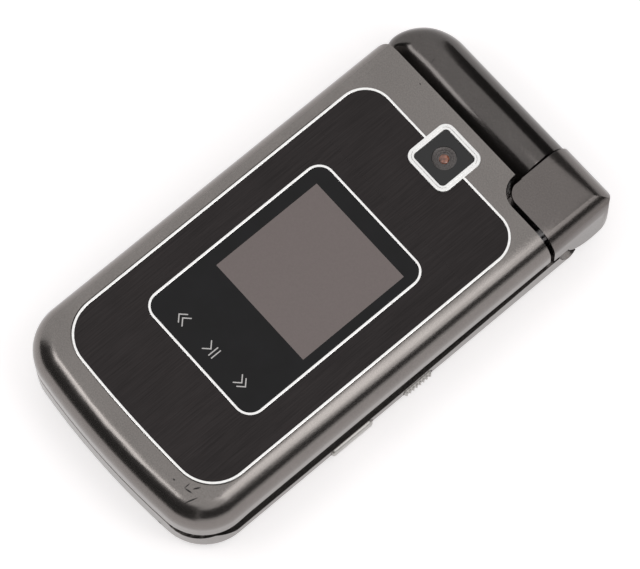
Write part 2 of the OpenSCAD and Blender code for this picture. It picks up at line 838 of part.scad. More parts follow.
module lid_shell() {
    color("#77726f") difference() {
        rolled_slab(lid_lo, body_t, lid_end, edge_r, edge_break);
        slab(lip_w, lid_lo - CUT, seat_z, lid_end + CUT);
        intersection() {
            slab(lid_wall, lid_lo, skin_lo, notch_y - lid_wall);
            block_box(-half_w, y_bot, 0, cavity_x, y_back, body_t);
        }
        translate([0, 0, plate_lo]) linear_extrude(plate_t + CUT) plate_outline(-groove_w);
        translate([0, 0, plate_lo]) linear_extrude(plate_t + CUT)
            camera_outline(camera_side + 2 * groove_w, camera_corner_r + groove_w);
        translate([outer_lcd_shift, lcd_y, skin_lo - CUT])
            translate([-outer_lcd / 2 - SEAT, -outer_lcd / 2 - SEAT, 0])
            cube([outer_lcd + 2 * SEAT, outer_lcd + 2 * SEAT, lid_skin + 2 * CUT]);
        translate([0, camera_y, skin_lo - CUT]) cylinder(h = lid_skin + 2 * CUT, r = lens_r + lens_play);
        block_box(-camera_room / 2, notch_y - lid_wall - CUT, seat_z,
            camera_room / 2, camera_y + camera_room / 2, skin_lo);
        translate([ear_x, ear_y, seat_z - CUT]) linear_extrude(ear_t + CUT) ear_outline(SEAT);
        edge_lift();
        lid_end_cuts();
        side_rod(notch_y - side_cartridge_len, notch_y + CUT, side_cartridge_r);
    }
}

module lid_inner_cover() {
    color("#161616") difference() {
        slab(lip_w, cover_lo, seat_z, lid_end);
        translate([0, 0, cover_lo - CUT]) linear_extrude(main_window_t + CUT) main_window_outline(SEAT);
        translate([0, 0, cover_lo - CUT]) linear_extrude(inner_cover_t + 2 * CUT)
            main_window_outline(-main_border);
        lid_end_cuts();
        translate([ear_x, ear_y, cover_lo - CUT]) linear_extrude(inner_cover_t + 2 * CUT)
            round_rect(-ear_slot_len / 2, -ear_slot_w / 2, ear_slot_len / 2, ear_slot_w / 2,
            ear_slot_w / 2 - SEAT);
    }
}

module main_window_outline(grow) {
    round_rect(main_x - main_window_w / 2 - grow, main_y0 - grow,
        main_x + main_window_w / 2 + grow, main_y0 + main_window_len + grow,
        main_window_r + grow / 2);
}

module main_window() {
    color("#0c0d10") translate([0, 0, cover_lo]) linear_extrude(main_window_t) main_window_outline(0);
}

module main_display() {
    color("#23262d") translate([0, 0, cover_lo + main_window_t])
        linear_extrude(main_display_t) main_window_outline(-main_border - 2 * SEAT);
}

module earpiece() {
    color("#4a4a4c") translate([ear_x, ear_y, seat_z]) linear_extrude(ear_t) ear_outline(0);
}

module ear_outline(grow) {
    round_rect(-ear_len / 2 - grow, -ear_w / 2 - grow, ear_len / 2 + grow, ear_w / 2 + grow,
        ear_w / 2 - 2 * SEAT);
}

module lid_bumpers() {
    color("#1d1d1d") for (x = [key_x0 + bumper_in, key_x1 - bumper_in])
        translate([x, key_y0 - 2, cover_lo - bumper_t]) cylinder(h = bumper_t, r = bumper_r);
}

module lid_board() {
    color("#1e5b3a") block_box(main_x - lid_board_half, main_y0 + main_border + 2, lid_board_z,
        main_x + lid_board_half, camera_y - camera_body, lid_board_z + lid_board_t);
}

module outer_display() {
    w = outer_lcd / 2;
    color("#7a706e") {
        block_box(outer_lcd_shift - w - outer_lcd_rim, lcd_y - w - lcd_foot, skin_lo - outer_lcd_t,
            outer_lcd_shift + w + outer_lcd_rim, lcd_y + w + outer_lcd_rim, skin_lo);
        block_box(outer_lcd_shift - w, lcd_y - w, skin_lo, outer_lcd_shift + w, lcd_y + w, plate_lo);
    }
}

module brushed_plate() {
    color("#2e2a2a") translate([0, 0, plate_lo]) linear_extrude(plate_t) difference() {
        plate_outline(plate_trim_w);
        window_outline(0);
        camera_outline(camera_side + 2 * groove_w, camera_corner_r + groove_w);
    }
}

module plate_trim() {
    color("#e6e4e2") translate([0, 0, plate_lo]) linear_extrude(plate_t + trim_proud) difference() {
        plate_outline(0);
        plate_outline(plate_trim_w);
        camera_outline(camera_side + 2 * groove_w, camera_corner_r + groove_w);
    }
}

module outer_window() {
    color("#0f0f10") translate([0, 0, plate_lo]) linear_extrude(plate_t) window_outline(window_trim_w);
}

module window_trim() {
    color("#e6e4e2") translate([0, 0, plate_lo]) linear_extrude(plate_t + trim_proud) difference() {
        window_outline(0);
        window_outline(window_trim_w);
    }
}

module camera_bezel() {
    color("#cfcdca") translate([0, 0, plate_lo]) linear_extrude(plate_t + camera_proud) difference() {
        camera_outline(camera_side, camera_corner_r);
        camera_outline(camera_open, camera_corner_r - camera_wall);
    }
}

module camera_glass() {
    color("#101012") translate([0, 0, plate_lo]) linear_extrude(plate_t)
        camera_outline(camera_open, camera_corner_r - camera_wall);
}

module camera_module() {
    color("#3b3b3d") translate([0, camera_y, 0]) {
        block_box(-camera_body / 2, -camera_body / 2, camera_lo, camera_body / 2, camera_body / 2,
            skin_lo);
        translate([0, 0, skin_lo]) cylinder(h = lid_skin, r = lens_r);
    }
}

module landscape_cartridge() {
    color("#8d8d92") difference() {
        side_rod(notch_y - side_cartridge_len, notch_y, side_cartridge_r);
        side_rod(notch_y - side_cartridge_len - CUT, notch_y + CUT, side_shaft_r + shaft_play);
    }
}

base_shell();
battery_cover();
battery();
main_board();
key_sheet();
keypad_frame();
hinge_barrel();
portrait_cartridge();
charging_connector();
loudspeaker();
microphone();
base_screws();
volume_key();
camera_key();
voice_key();
corner_block();
portrait_shaft();
landscape_shaft();
lid_shell();
lid_inner_cover();
brushed_plate();
plate_trim();
outer_window();
window_trim();
outer_display();
camera_bezel();
camera_glass();
camera_module();
main_window();
main_display();
earpiece();
lid_bumpers();
lid_board();
landscape_cartridge();
for (row = [1:key_rows], col = [1:key_cols])
    key_cap(row, col);
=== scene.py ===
"""Looks of a closed flip phone with two hinges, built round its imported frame."""

import math
import bmesh
import bpy
from bpy.props import FloatProperty, FloatVectorProperty, IntProperty, PointerProperty
from mathutils import Matrix, Vector


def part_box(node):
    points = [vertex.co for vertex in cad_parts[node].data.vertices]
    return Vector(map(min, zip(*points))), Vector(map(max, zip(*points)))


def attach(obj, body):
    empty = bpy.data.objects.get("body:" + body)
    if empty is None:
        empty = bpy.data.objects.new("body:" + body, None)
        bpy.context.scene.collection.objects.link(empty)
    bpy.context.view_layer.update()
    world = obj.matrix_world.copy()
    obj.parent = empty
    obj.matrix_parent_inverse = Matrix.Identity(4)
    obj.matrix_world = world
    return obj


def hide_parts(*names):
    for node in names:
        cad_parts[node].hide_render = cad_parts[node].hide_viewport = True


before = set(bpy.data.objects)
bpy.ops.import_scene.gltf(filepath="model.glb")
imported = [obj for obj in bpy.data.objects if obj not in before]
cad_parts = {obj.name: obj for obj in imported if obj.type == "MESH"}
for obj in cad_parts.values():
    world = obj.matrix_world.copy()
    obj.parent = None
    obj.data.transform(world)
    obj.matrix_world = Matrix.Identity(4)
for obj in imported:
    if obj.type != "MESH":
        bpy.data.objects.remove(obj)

bl_info = {
    "name": "Dual-hinge flip phone",
    "version": (1, 0, 0),
    "blender": (4, 5, 0),
    "location": "3D View > Sidebar > Flip phone",
    "description": "Builds the shells, trims, keys and finishes of a flip phone",
    "category": "Add Mesh",
}

MM = 0.001
SMOOTH = math.radians(32)
WELD = 2e-6
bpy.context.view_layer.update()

# The camera ring, in millimetres: half its outer side, half its opening, its middle along the phone
# and its corner radius.
RING_HALF, RING_OPEN, RING_Y, RING_R = 5.3, 4.1, 31.4, 2.0
# Width of the polished trims, and the outer corner radius of the one round the window.
TRIM_WIDTH, WINDOW_R = 0.5, 3.3
# Darkest tone, of scratches and chips in the lacquer.
SCRATCH = "#1d1b1b"
# Height of printed ink over the face that carries it, in millimetres.
INK = 0.012


# ---- Colour, nodes and materials ----


def linear(code):
    """Linear RGBA of an sRGB hex colour."""
    parts = [int(code[i : i + 2], 16) / 255 for i in (1, 3, 5)]
    return (*[c / 12.92 if c <= 0.04045 else ((c + 0.055) / 1.055) ** 2.4 for c in parts], 1.0)


def add(tree, kind, sockets=None, **settings):
    """Adds a node; sockets maps an input's name or number to a value or to another node's output."""
    made = tree.nodes.new(kind)
    for key, value in settings.items():
        setattr(made, key, value)
    for key, value in (sockets or {}).items():
        if isinstance(value, bpy.types.NodeSocket):
            tree.links.new(value, made.inputs[key])
        else:
            made.inputs[key].default_value = value
    return made


def blank(name):
    """A material with nothing but its output, and that output."""
    made = bpy.data.materials.new(name)
    made.use_nodes = True
    made.node_tree.nodes.clear()
    return made, made.node_tree, add(made.node_tree, "ShaderNodeOutputMaterial")


def place(tree, scale=(1, 1, 1), at=(0, 0, 0), turn=(0, 0, 0)):
    """Object coordinates in millimetres about a point, turned and then scaled."""
    spot = add(tree, "ShaderNodeTexCoord").outputs["Object"]
    moved = add(tree, "ShaderNodeVectorMath", {0: spot, 1: Vector(at) * MM}, operation="SUBTRACT")
    turned = add(tree, "ShaderNodeVectorRotate", {"Vector": moved.outputs[0], "Rotation": turn},
                 rotation_type="EULER_XYZ", invert=True)
    return add(tree, "ShaderNodeVectorMath", {0: turned.outputs[0], 1: Vector(scale) / MM},
               operation="MULTIPLY").outputs[0]


def noise(tree, vector, detail=2.0):
    return add(tree, "ShaderNodeTexNoise", {"Vector": vector, "Scale": 1.0, "Detail": detail,
                                            "Roughness": 0.5}).outputs["Fac"]


def ranged(tree, value, low, high, to_low=0.0, to_high=1.0):
    return add(tree, "ShaderNodeMapRange", {"Value": value, "From Min": low, "From Max": high,
                                            "To Min": to_low, "To Max": to_high}).outputs[0]


def blended(tree, factor, first, second, mode="MIX"):
    """Colour mix of two hex colours or outputs."""
    a, b = (linear(c) if isinstance(c, str) else c for c in (first, second))
    return add(tree, "ShaderNodeMix", {0: factor, 6: a, 7: b}, data_type="RGBA",
               blend_type=mode).outputs[2]


def maths(tree, kind, *values):
    return add(tree, "ShaderNodeMath", dict(enumerate(values)), operation=kind).outputs[0]


def finish(name, dark, light, grain=0.3, stretch=(1, 1, 1), rough=(0.4, 0.5), bump=0.0,
           detail=2.0, span=(0.3, 0.7), mottle=None, **constants):
    """A finish whose colour, gloss and relief follow one grain, given by its size in millimetres.

    mottle is a second, broader grain that shades the colour; constants go to the shader's own sockets.
    """
    made, tree, out = blank(name)
    spread = noise(tree, place(tree, [s / grain for s in stretch]), detail)
    factor = ranged(tree, spread, *span)
    colour = blended(tree, factor, dark, light)
    if mottle:
        size, strength = mottle
        broad = noise(tree, place(tree, [1 / size] * 3), 3.0)
        shade = ranged(tree, broad, 0.3, 0.7, 1 - strength, 1 + strength)
        grey = add(tree, "ShaderNodeCombineColor", {0: shade, 1: shade, 2: shade}).outputs[0]
        colour = blended(tree, 1.0, colour, grey, "MULTIPLY")
    shader = add(tree, "ShaderNodeBsdfPrincipled", {
        "Base Color": colour, "Roughness": ranged(tree, spread, *span, *rough)})
    if bump:
        relief = add(tree, "ShaderNodeBump", {"Strength": 1.0, "Distance": bump * MM, "Height": spread})
        tree.links.new(relief.outputs[0], shader.inputs["Normal"])
    for key, value in constants.items():
        shader.inputs[key.replace("_", " ").title().replace("Ior", "IOR")].default_value = value
    tree.links.new(shader.outputs[0], out.inputs[0])
    return made


def into_colour(material, change):
    """Puts change(tree, old colour) between a finish's colour and its shader."""
    tree = material.node_tree
    socket = next(n for n in tree.nodes if n.type == "BSDF_PRINCIPLED").inputs["Base Color"]
    old = socket.links[0].from_socket
    tree.links.new(change(tree, old), socket)
    return material


def speck(tree, at, radii, turn=0.0, soft=0.5, ragged=0.6):
    """Mask of a small mark with ragged edges: 1 inside the radii, in millimetres, and 0 outside."""
    spot = place(tree, [1 / r for r in radii], at, (0, 0, math.radians(turn)))
    away = add(tree, "ShaderNodeVectorMath", {0: spot}, operation="LENGTH").outputs["Value"]
    edge = maths(tree, "SUBTRACT", noise(tree, place(tree, (9, 9, 9))), 0.5)
    away = maths(tree, "ADD", away, maths(tree, "MULTIPLY", edge, ragged))
    return ranged(tree, away, 1.0, soft)


# ---- Outlines and lofts ----


def arc(x, y, r, start, end, steps):
    """Points of an arc, from start to end in degrees."""
    turn = [math.radians(start + (end - start) * i / steps) for i in range(steps + 1)]
    return [(x + r * math.cos(a), y + r * math.sin(a)) for a in turn]


def round_rect(lo, hi, r, inset=0.0, steps=10):
    """Round rectangle between two corners, drawn in by inset, anticlockwise from its lower right corner."""
    r = max(r - inset, 0.01)
    x0, y0, x1, y1 = lo[0] + inset + r, lo[1] + inset + r, hi[0] - inset - r, hi[1] - inset - r
    return (arc(x1, y0, r, -90, 0, steps) + arc(x1, y1, r, 0, 90, steps)
            + arc(x0, y1, r, 90, 180, steps) + arc(x0, y0, r, 180, 270, steps))


def bowed_rect(lo, hi, r, bow, inset=0.0, steps=14, top_r=None):
    """Round rectangle whose lower side bows outwards, anticlockwise from the middle of its upper side.

    r rounds the lower corners and top_r the upper ones, which is r if it isn't given. bow is the
    radius of the lower side.
    """
    q = (top_r or r) - inset
    w, bow, r = (hi[0] - lo[0]) / 2 - inset, bow - inset, r - inset
    mid, top = (lo[0] + hi[0]) / 2, lo[1] + inset + bow
    cx = w - r
    cy = top - math.sqrt((bow - r) ** 2 - cx**2)
    lean = math.degrees(math.asin(cx / (bow - r)))
    y1, tx = hi[1] - inset - q, w - q
    return ([(mid, hi[1] - inset)] + arc(mid - tx, y1, q, 90, 180, steps)
            + arc(mid - cx, cy, r, 180, 270 - lean, steps)
            + arc(mid, top, bow, 270 - lean, 270 + lean, 3 * steps)[1:-1]
            + arc(mid + cx, cy, r, -90 + lean, 0, steps) + arc(mid + tx, y1, q, 0, 90, steps))


def circle(x, y, r, count, start=0.0):
    return arc(x, y, r, start, start + 360 * (count - 1) / count, count - 1)


def quarter(inset, height, r, steps=5, outer=True):
    """Profile points of a rounded edge, as pairs of inset and height."""
    turns = [math.pi / 2 * i / steps for i in range(steps + 1)]
    if outer:
        return [(inset + r * (1 - math.cos(a)), height - r * (1 - math.sin(a))) for a in turns]
    return [(inset - r * (1 - math.sin(a)), height - r * (1 - math.cos(a))) for a in turns]


def loft(bm, rings, lid=True, floor=True, joined=False, ends=False, slot=0):
    """Skin over rings of points, all of one length.

    joined closes the last ring to the first, and ends leaves each ring open.
    """
    rows = [[bm.verts.new(Vector(p) * MM) for p in ring] for ring in rings]
    count = len(rows[0])
    pairs = list(zip(rows, rows[1:])) + ([(rows[-1], rows[0])] if joined else [])
    faces = []
    for low, high in pairs:
        for i in range(count - 1 if ends else count):
            j = (i + 1) % count
            faces.append(bm.faces.new((low[i], low[j], high[j], high[i])))
    if lid and not joined:
        faces.append(bm.faces.new(rows[-1]))
    if floor and not joined:
        faces.append(bm.faces.new(rows[0][::-1]))
    if ends and joined:
        faces.append(bm.faces.new([row[0] for row in rows]))
        faces.append(bm.faces.new([row[-1] for row in rows][::-1]))
    for face in faces:
        face.material_index = slot
    return faces


def stacked(outline, profile):
    """Rings of an outline at each pair of inset and height."""
    return [[(x, y, z) for x, y in outline(inset)] for inset, z in profile]


def data_of(name, bm):
    """A mesh made from an edit mesh, which is given back."""
    mesh = bpy.data.meshes.new(name)
    bm.to_mesh(mesh)
    bm.free()
    return mesh


def piece(name, bm, materials, body, nodes=()):
    """Makes a piece from its mesh, with its normals outwards, and lets it ride on its body."""
    bmesh.ops.remove_doubles(bm, verts=bm.verts, dist=WELD)
    bmesh.ops.recalc_face_normals(bm, faces=bm.faces)
    return mesh_piece(name, data_of(name, bm), materials, body, nodes)


def mesh_piece(name, mesh, materials, body, nodes=()):
    """Makes a piece with its finishes, shaded smooth but for its sharp edges."""
    for material in materials:
        mesh.materials.append(material)
    mesh.polygons.foreach_set("use_smooth", [True] * len(mesh.polygons))
    mesh.set_sharp_from_angle(angle=SMOOTH)
    made = bpy.data.objects.new(name, mesh)
    bpy.context.scene.collection.objects.link(made)
    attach(made, body)
    if nodes:
        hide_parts(*nodes)
    return made


def dressed(name, node, material, body, bevel=0.12, steps=2, angle=38):
    """A merged copy of a CAD node with its edges rounded and its curves shaded smooth."""
    bm = bmesh.new()
    bm.from_mesh(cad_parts[node].data)
    bmesh.ops.remove_doubles(bm, verts=bm.verts, dist=WELD)
    bmesh.ops.dissolve_limit(bm, angle_limit=math.radians(0.6), verts=bm.verts, edges=bm.edges)
    made = mesh_piece(name, data_of(name, bm), [material], body, [node])
    if bevel:
        edges = made.modifiers.new("Edges", "BEVEL")
        edges.width, edges.segments = bevel * MM, steps
        edges.limit_method, edges.angle_limit = "ANGLE", math.radians(angle)
        edges.use_clamp_overlap, edges.loop_slide = True, False
        edges.miter_outer = "MITER_ARC"
    weight = made.modifiers.new("Shading", "WEIGHTED_NORMAL")
    weight.keep_sharp = False
    return made


def corners(node):
    """A CAD node's lowest and highest corners, in millimetres."""
    lo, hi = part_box(node)
    return lo / MM, hi / MM


def paint_node(node, material):
    """Gives a carried CAD node its finish."""
    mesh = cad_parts[node].data
    mesh.materials.clear()
    mesh.materials.append(material)


def strokes(bm, lines, width, height, slot=0):
    """Flat printed lines with mitred bends, drawn along each list of points. height gives z at a point."""
    for points in lines:
        points = [Vector(p) for p in points]
        left, right = [], []
        for i, p in enumerate(points):
            before = (p - points[i - 1]).normalized() if i else None
            after = (points[i + 1] - p).normalized() if i + 1 < len(points) else None
            along = (before or after) + (after or before)
            along.normalize()
            side = Vector((-along.y, along.x))
            reach = width / 2 / max(0.4, abs(along.dot(before or after)))
            left.append(p + side * reach)
            right.append(p - side * reach)
        for i in range(len(points) - 1):
            quad = [left[i], right[i], right[i + 1], left[i + 1]]
            made = [bm.verts.new(Vector((q.x, q.y, height(q))) * MM) for q in quad]
            bm.faces.new(made).material_index = slot


# ---- Geometry nodes ----


def row_tree():
    """Geometry nodes that repeat the piece's mesh along a straight row."""
    tree = bpy.data.node_groups.new("row_of_pieces", "GeometryNodeTree")
    face = tree.interface
    face.new_socket("Geometry", in_out="INPUT", socket_type="NodeSocketGeometry")
    face.new_socket("Count", in_out="INPUT", socket_type="NodeSocketInt")
    face.new_socket("Step", in_out="INPUT", socket_type="NodeSocketVector")
    face.new_socket("Finish", in_out="INPUT", socket_type="NodeSocketMaterial")
    face.new_socket("Geometry", in_out="OUTPUT", socket_type="NodeSocketGeometry")
    given = add(tree, "NodeGroupInput").outputs
    line = add(tree, "GeometryNodeMeshLine", {"Count": given["Count"], "Offset": given["Step"]})
    spread = add(tree, "GeometryNodeInstanceOnPoints", {"Points": line.outputs[0],
                                                        "Instance": given["Geometry"]})
    real = add(tree, "GeometryNodeRealizeInstances", {0: spread.outputs[0]})
    painted = add(tree, "GeometryNodeSetMaterial", {"Geometry": real.outputs[0],
                                                    "Material": given["Finish"]})
    add(tree, "NodeGroupOutput", {0: painted.outputs[0]})
    return tree


def row_mesh(name, bm, material, count, step):
    """A plain mesh of one small shape repeated in a row, made with the row tree. step is in millimetres."""
    bmesh.ops.recalc_face_normals(bm, faces=bm.faces)
    seed = bpy.data.objects.new(name, data_of(name, bm))
    bpy.context.scene.collection.objects.link(seed)
    tree = bpy.data.node_groups.get("row_of_pieces") or row_tree()
    modifier = seed.modifiers.new("Rows", "NODES")
    modifier.node_group = tree
    values = {"Count": count, "Step": Vector(step) * MM, "Finish": material}
    for item in tree.interface.items_tree:
        if item.in_out == "INPUT" and item.name in values:
            modifier[item.identifier] = values[item.name]
    graph = bpy.context.evaluated_depsgraph_get()
    made = bpy.data.meshes.new_from_object(seed.evaluated_get(graph))
    bpy.data.objects.remove(seed)
    return made


def box(bm, lo, hi):
    """A box between two corners, in millimetres."""
    made = bmesh.ops.create_cube(bm, size=1.0)
    middle, size = (Vector(lo) + Vector(hi)) / 2 * MM, (Vector(hi) - Vector(lo)) * MM
    bmesh.ops.transform(bm, matrix=Matrix.Translation(middle) @ Matrix.Diagonal((*size, 1)),
                        verts=made["verts"])
    return made["verts"]


# ---- The user's sizes and colours ----


class PhoneLook(bpy.types.PropertyGroup):
    """Sizes and colours that a user may change."""

    shell_colour: FloatVectorProperty(
        name="Shell", description="Satin lacquer of lid, base and corner block", size=4,
        subtype="COLOR", min=0, max=1, default=linear("#7b7673"))
    barrel_colour: FloatVectorProperty(
        name="Barrel", description="Darker satin lacquer of the hinge barrel", size=4,
        subtype="COLOR", min=0, max=1, default=linear("#55514f"))
    plate_colour: FloatVectorProperty(
        name="Face plate", description="Black anodised brushed plate", size=4,
        subtype="COLOR", min=0, max=1, default=linear("#2d2929"))
    display_colour: FloatVectorProperty(
        name="Outer display", description="Grey of the outer display when it is off", size=4,
        subtype="COLOR", min=0, max=1, default=linear("#7a706e"))
    shell_bevel: FloatProperty(
        name="Shell edges", description="Rounding of the shells' cut edges", default=0.12 * MM,
        min=0, unit="LENGTH", subtype="DISTANCE")
    block_bevel: FloatProperty(
        name="Block edges", description="Rounding of the corner block's edges", default=0.3 * MM,
        min=0, unit="LENGTH", subtype="DISTANCE")
    icon_width: FloatProperty(
        name="Icon lines", description="Width of the printed lines of the touch icons",
        default=0.22 * MM, min=0, unit="LENGTH", subtype="DISTANCE")
    key_crown: FloatProperty(
        name="Key crown", description="Height of the keys' domed tops", default=0.12 * MM,
        min=0, unit="LENGTH", subtype="DISTANCE")
    rib_count: IntProperty(
        name="Ribs", description="Number of ribs on the small side key", default=8, min=2, max=12)


def look():
    return bpy.context.scene.phone_look


def shaded(colour, factor):
    """A colour made darker or lighter."""
    return (*[min(1.0, c * factor) for c in colour[:3]], 1.0)


# ---- Operators ----


class PHONE_OT_shells(bpy.types.Operator):
    """Lid shell, base shell and corner block in satin grey lacquer"""

    bl_idname = "phone.shells"
    bl_label = "Shells"

    def execute(self, context):
        colour = tuple(look().shell_colour)
        # Satin metallic lacquer, sprayed and clear-coated: fine sparkle, soft broad highlights. The
        # flakes are 0.05 mm and are drawn at 0.25 mm so that they show.
        lacquer = finish("satin_grey_lacquer", shaded(colour, 0.86), shaded(colour, 1.12), grain=0.25,
                         rough=(0.2, 0.27), bump=0.002, mottle=(11, 0.05), metallic=0.9,
                         coat_weight=0.2, coat_roughness=0.15)
        worn = into_colour(lacquer.copy(), self.wear)
        worn.name = "satin_grey_lacquer_worn"
        bevel = look().shell_bevel / MM
        dressed("lid_shell_lacquered", "lid_shell", worn, "lid", bevel)
        dressed("base_shell_lacquered", "base_shell", lacquer, "base", bevel)
        # The same lacquer, made a little darker on the corner block as painted shade: a shaded copy, not a
        # colour of its own.
        block = into_colour(lacquer.copy(),
                            lambda tree, old: blended(tree, 1.0, old, "#dcdada", "MULTIPLY"))
        block.name = "satin_grey_lacquer_block_painted_shade"
        dressed("corner_block_lacquered", "corner_block", block, "hinge_block",
                look().block_bevel / MM, 3)
        return {"FINISHED"}

    def wear(self, tree, colour):
        """Dark scuffs and specks at the lid's keypad end, as on a carried phone."""
        # Each mark's middle, half sizes and turn in degrees.
        marks = [((18.2, -43.2, 16), (0.9, 0.22, 2), 60), ((17.6, -44.6, 16), (1.0, 0.2, 2), 15),
                 ((16.7, -44.2, 16), (0.14, 0.8, 2), 0), ((19.2, -45.4, 16), (0.16, 1.6, 3), -20),
                 ((14.3, -45.2, 16), (0.3, 0.2, 2), 0), ((-13.9, 37.8, 16), (0.25, 0.15, 2), 0)]
        for at, radii, turn in marks:
            colour = blended(tree, speck(tree, at, radii, turn), colour, SCRATCH)
        return colour


class PHONE_OT_barrel(bpy.types.Operator):
    """Hinge barrel with its rounded left end"""

    bl_idname = "phone.barrel"
    bl_label = "Hinge barrel"

    def execute(self, context):
        lo, hi = corners("hinge_barrel")
        r, mid_z = (hi.z - lo.z) / 2, (lo.z + hi.z) / 2
        # The gap to the corner block, and how far the right end's rim is eased.
        end = hi.x - 0.5
        ease, eased = 0.2, 0.06
        # Radii that round the left end: towards the lid, towards the back, and up and down.
        front, back, crown = 2.7, 9.6, 5.0

        def cut(radius, t):
            """How far an end's rounding draws a side in, at a distance t from the end."""
            return radius - math.sqrt(radius**2 - (radius - t) ** 2) if t < radius else 0.0

        steps, around = 30, 120
        stations = [back * (1 - math.cos(math.pi / 2 * i / steps)) for i in range(steps + 1)]
        # Each cut across the barrel: where it lies, its two sides and half its height.
        spans = [(lo.x + t, lo.y + cut(front, t), hi.y - cut(back, t), r - cut(crown, t))
                 for t in stations]
        spans += [(end - ease, lo.y, hi.y, r), (end - eased, lo.y + eased, hi.y - eased, r - eased),
                  (end, lo.y + ease, hi.y - ease, r - ease)]
        rings = []
        for x, y0, y1, tall in spans:
            wide = max((y1 - y0) / 2, 0.05)
            rings.append([(x, (y0 + y1) / 2 + wide * math.cos(a), mid_z + tall * math.sin(a))
                          for a in (math.tau * k / around for k in range(around))])
        bm = bmesh.new()
        loft(bm, rings)
        colour = tuple(look().barrel_colour)
        # The same lacquer in gunmetal: darker, glossier from handling, with one fine scratch.
        gunmetal = finish("gunmetal_lacquer", shaded(colour, 0.85), shaded(colour, 1.15), grain=0.25,
                          rough=(0.16, 0.22), bump=0.002, mottle=(9, 0.06), metallic=0.9,
                          coat_weight=0.25, coat_roughness=0.1)
        into_colour(gunmetal, lambda tree, old: blended(
            tree, speck(tree, (-16.4, 43.2, 15), (0.06, 0.8, 3), 12), old, SCRATCH))
        piece("hinge_barrel_lacquered", bm, [gunmetal], "base", ["hinge_barrel"])
        return {"FINISHED"}


class PHONE_OT_face_plate(bpy.types.Operator):
    """Brushed plate and the polished trims round it and round the window"""

    bl_idname = "phone.face_plate"
    bl_label = "Face plate"

    def execute(self, context):
        colour = tuple(look().plate_colour)
        # Black anodised aluminium, brushed lengthwise: hairlines that catch light, 0.03 mm wide and
        # drawn at 0.12 mm, some of them brighter where the anodising is thin.
        brushed = finish("black_brushed_aluminium", shaded(colour, 0.7), shaded(colour, 1.25), grain=0.12,
                         stretch=(1, 0.02, 1), rough=(0.32, 0.45), bump=0.002, detail=4.0,
                         mottle=(14, 0.08), metallic=0.8)
        paint_node("brushed_plate", brushed)
        # Polished chrome trim: near-white in a bright room.
        chrome = finish("polished_chrome_trim", "#f0eeec", "#fbfaf9", grain=0.5, rough=(0.12, 0.2),
                        metallic=1.0)
        lo, hi = corners("plate_trim")
        # The plate's upper border, and half the gap in it that the camera ring covers.
        upper, gap = 31.8, RING_HALF - 0.1
        # Radii of the plate's lower corners, lower side and upper corners.
        low_r, bow, top_r = 8.0, 260.0, 6.0

        def border(inset):
            points = bowed_rect(lo, (hi.x, upper), low_r, bow, inset, top_r=top_r)
            return [(-gap, upper - inset)] + points[1:] + [(gap, upper - inset)]

        # The plate's upper strip runs beside the camera ring, from low on the plate up to the trim,
        # and tucks 0.05 mm under it.
        low, foot, face = 18.0, hi.z - 0.3, hi.z - 0.06
        strip = [(x, max(y, low)) for x, y in border(TRIM_WIDTH - 0.05)]
        strip += [(gap, RING_Y - gap), (-gap, RING_Y - gap)]
        bm = bmesh.new()
        loft(bm, [[(x, y, z) for x, y in strip] for z in (foot, face)])
        bmesh.ops.dissolve_degenerate(bm, edges=bm.edges, dist=WELD)
        piece("plate_upper_strip", bm, [brushed], "lid")

        bm = bmesh.new()
        loft(bm, stacked(border, self.section(lo.z, hi.z)), joined=True, ends=True)
        piece("plate_trim_polished", bm, [chrome], "lid", ["plate_trim"])
        lo, hi = corners("window_trim")
        bm = bmesh.new()
        loft(bm, stacked(lambda inset: round_rect(lo, hi, WINDOW_R, inset),
                         self.section(lo.z, hi.z)), joined=True)
        piece("window_trim_polished", bm, [chrome], "lid", ["window_trim"])
        return {"FINISHED"}

    def section(self, foot, top, crown=0.08):
        """A trim's section, with its two upper edges rounded."""
        return ([(0, foot)] + quarter(0, top, crown) + quarter(TRIM_WIDTH, top, crown, outer=False)
                + [(TRIM_WIDTH, foot)])


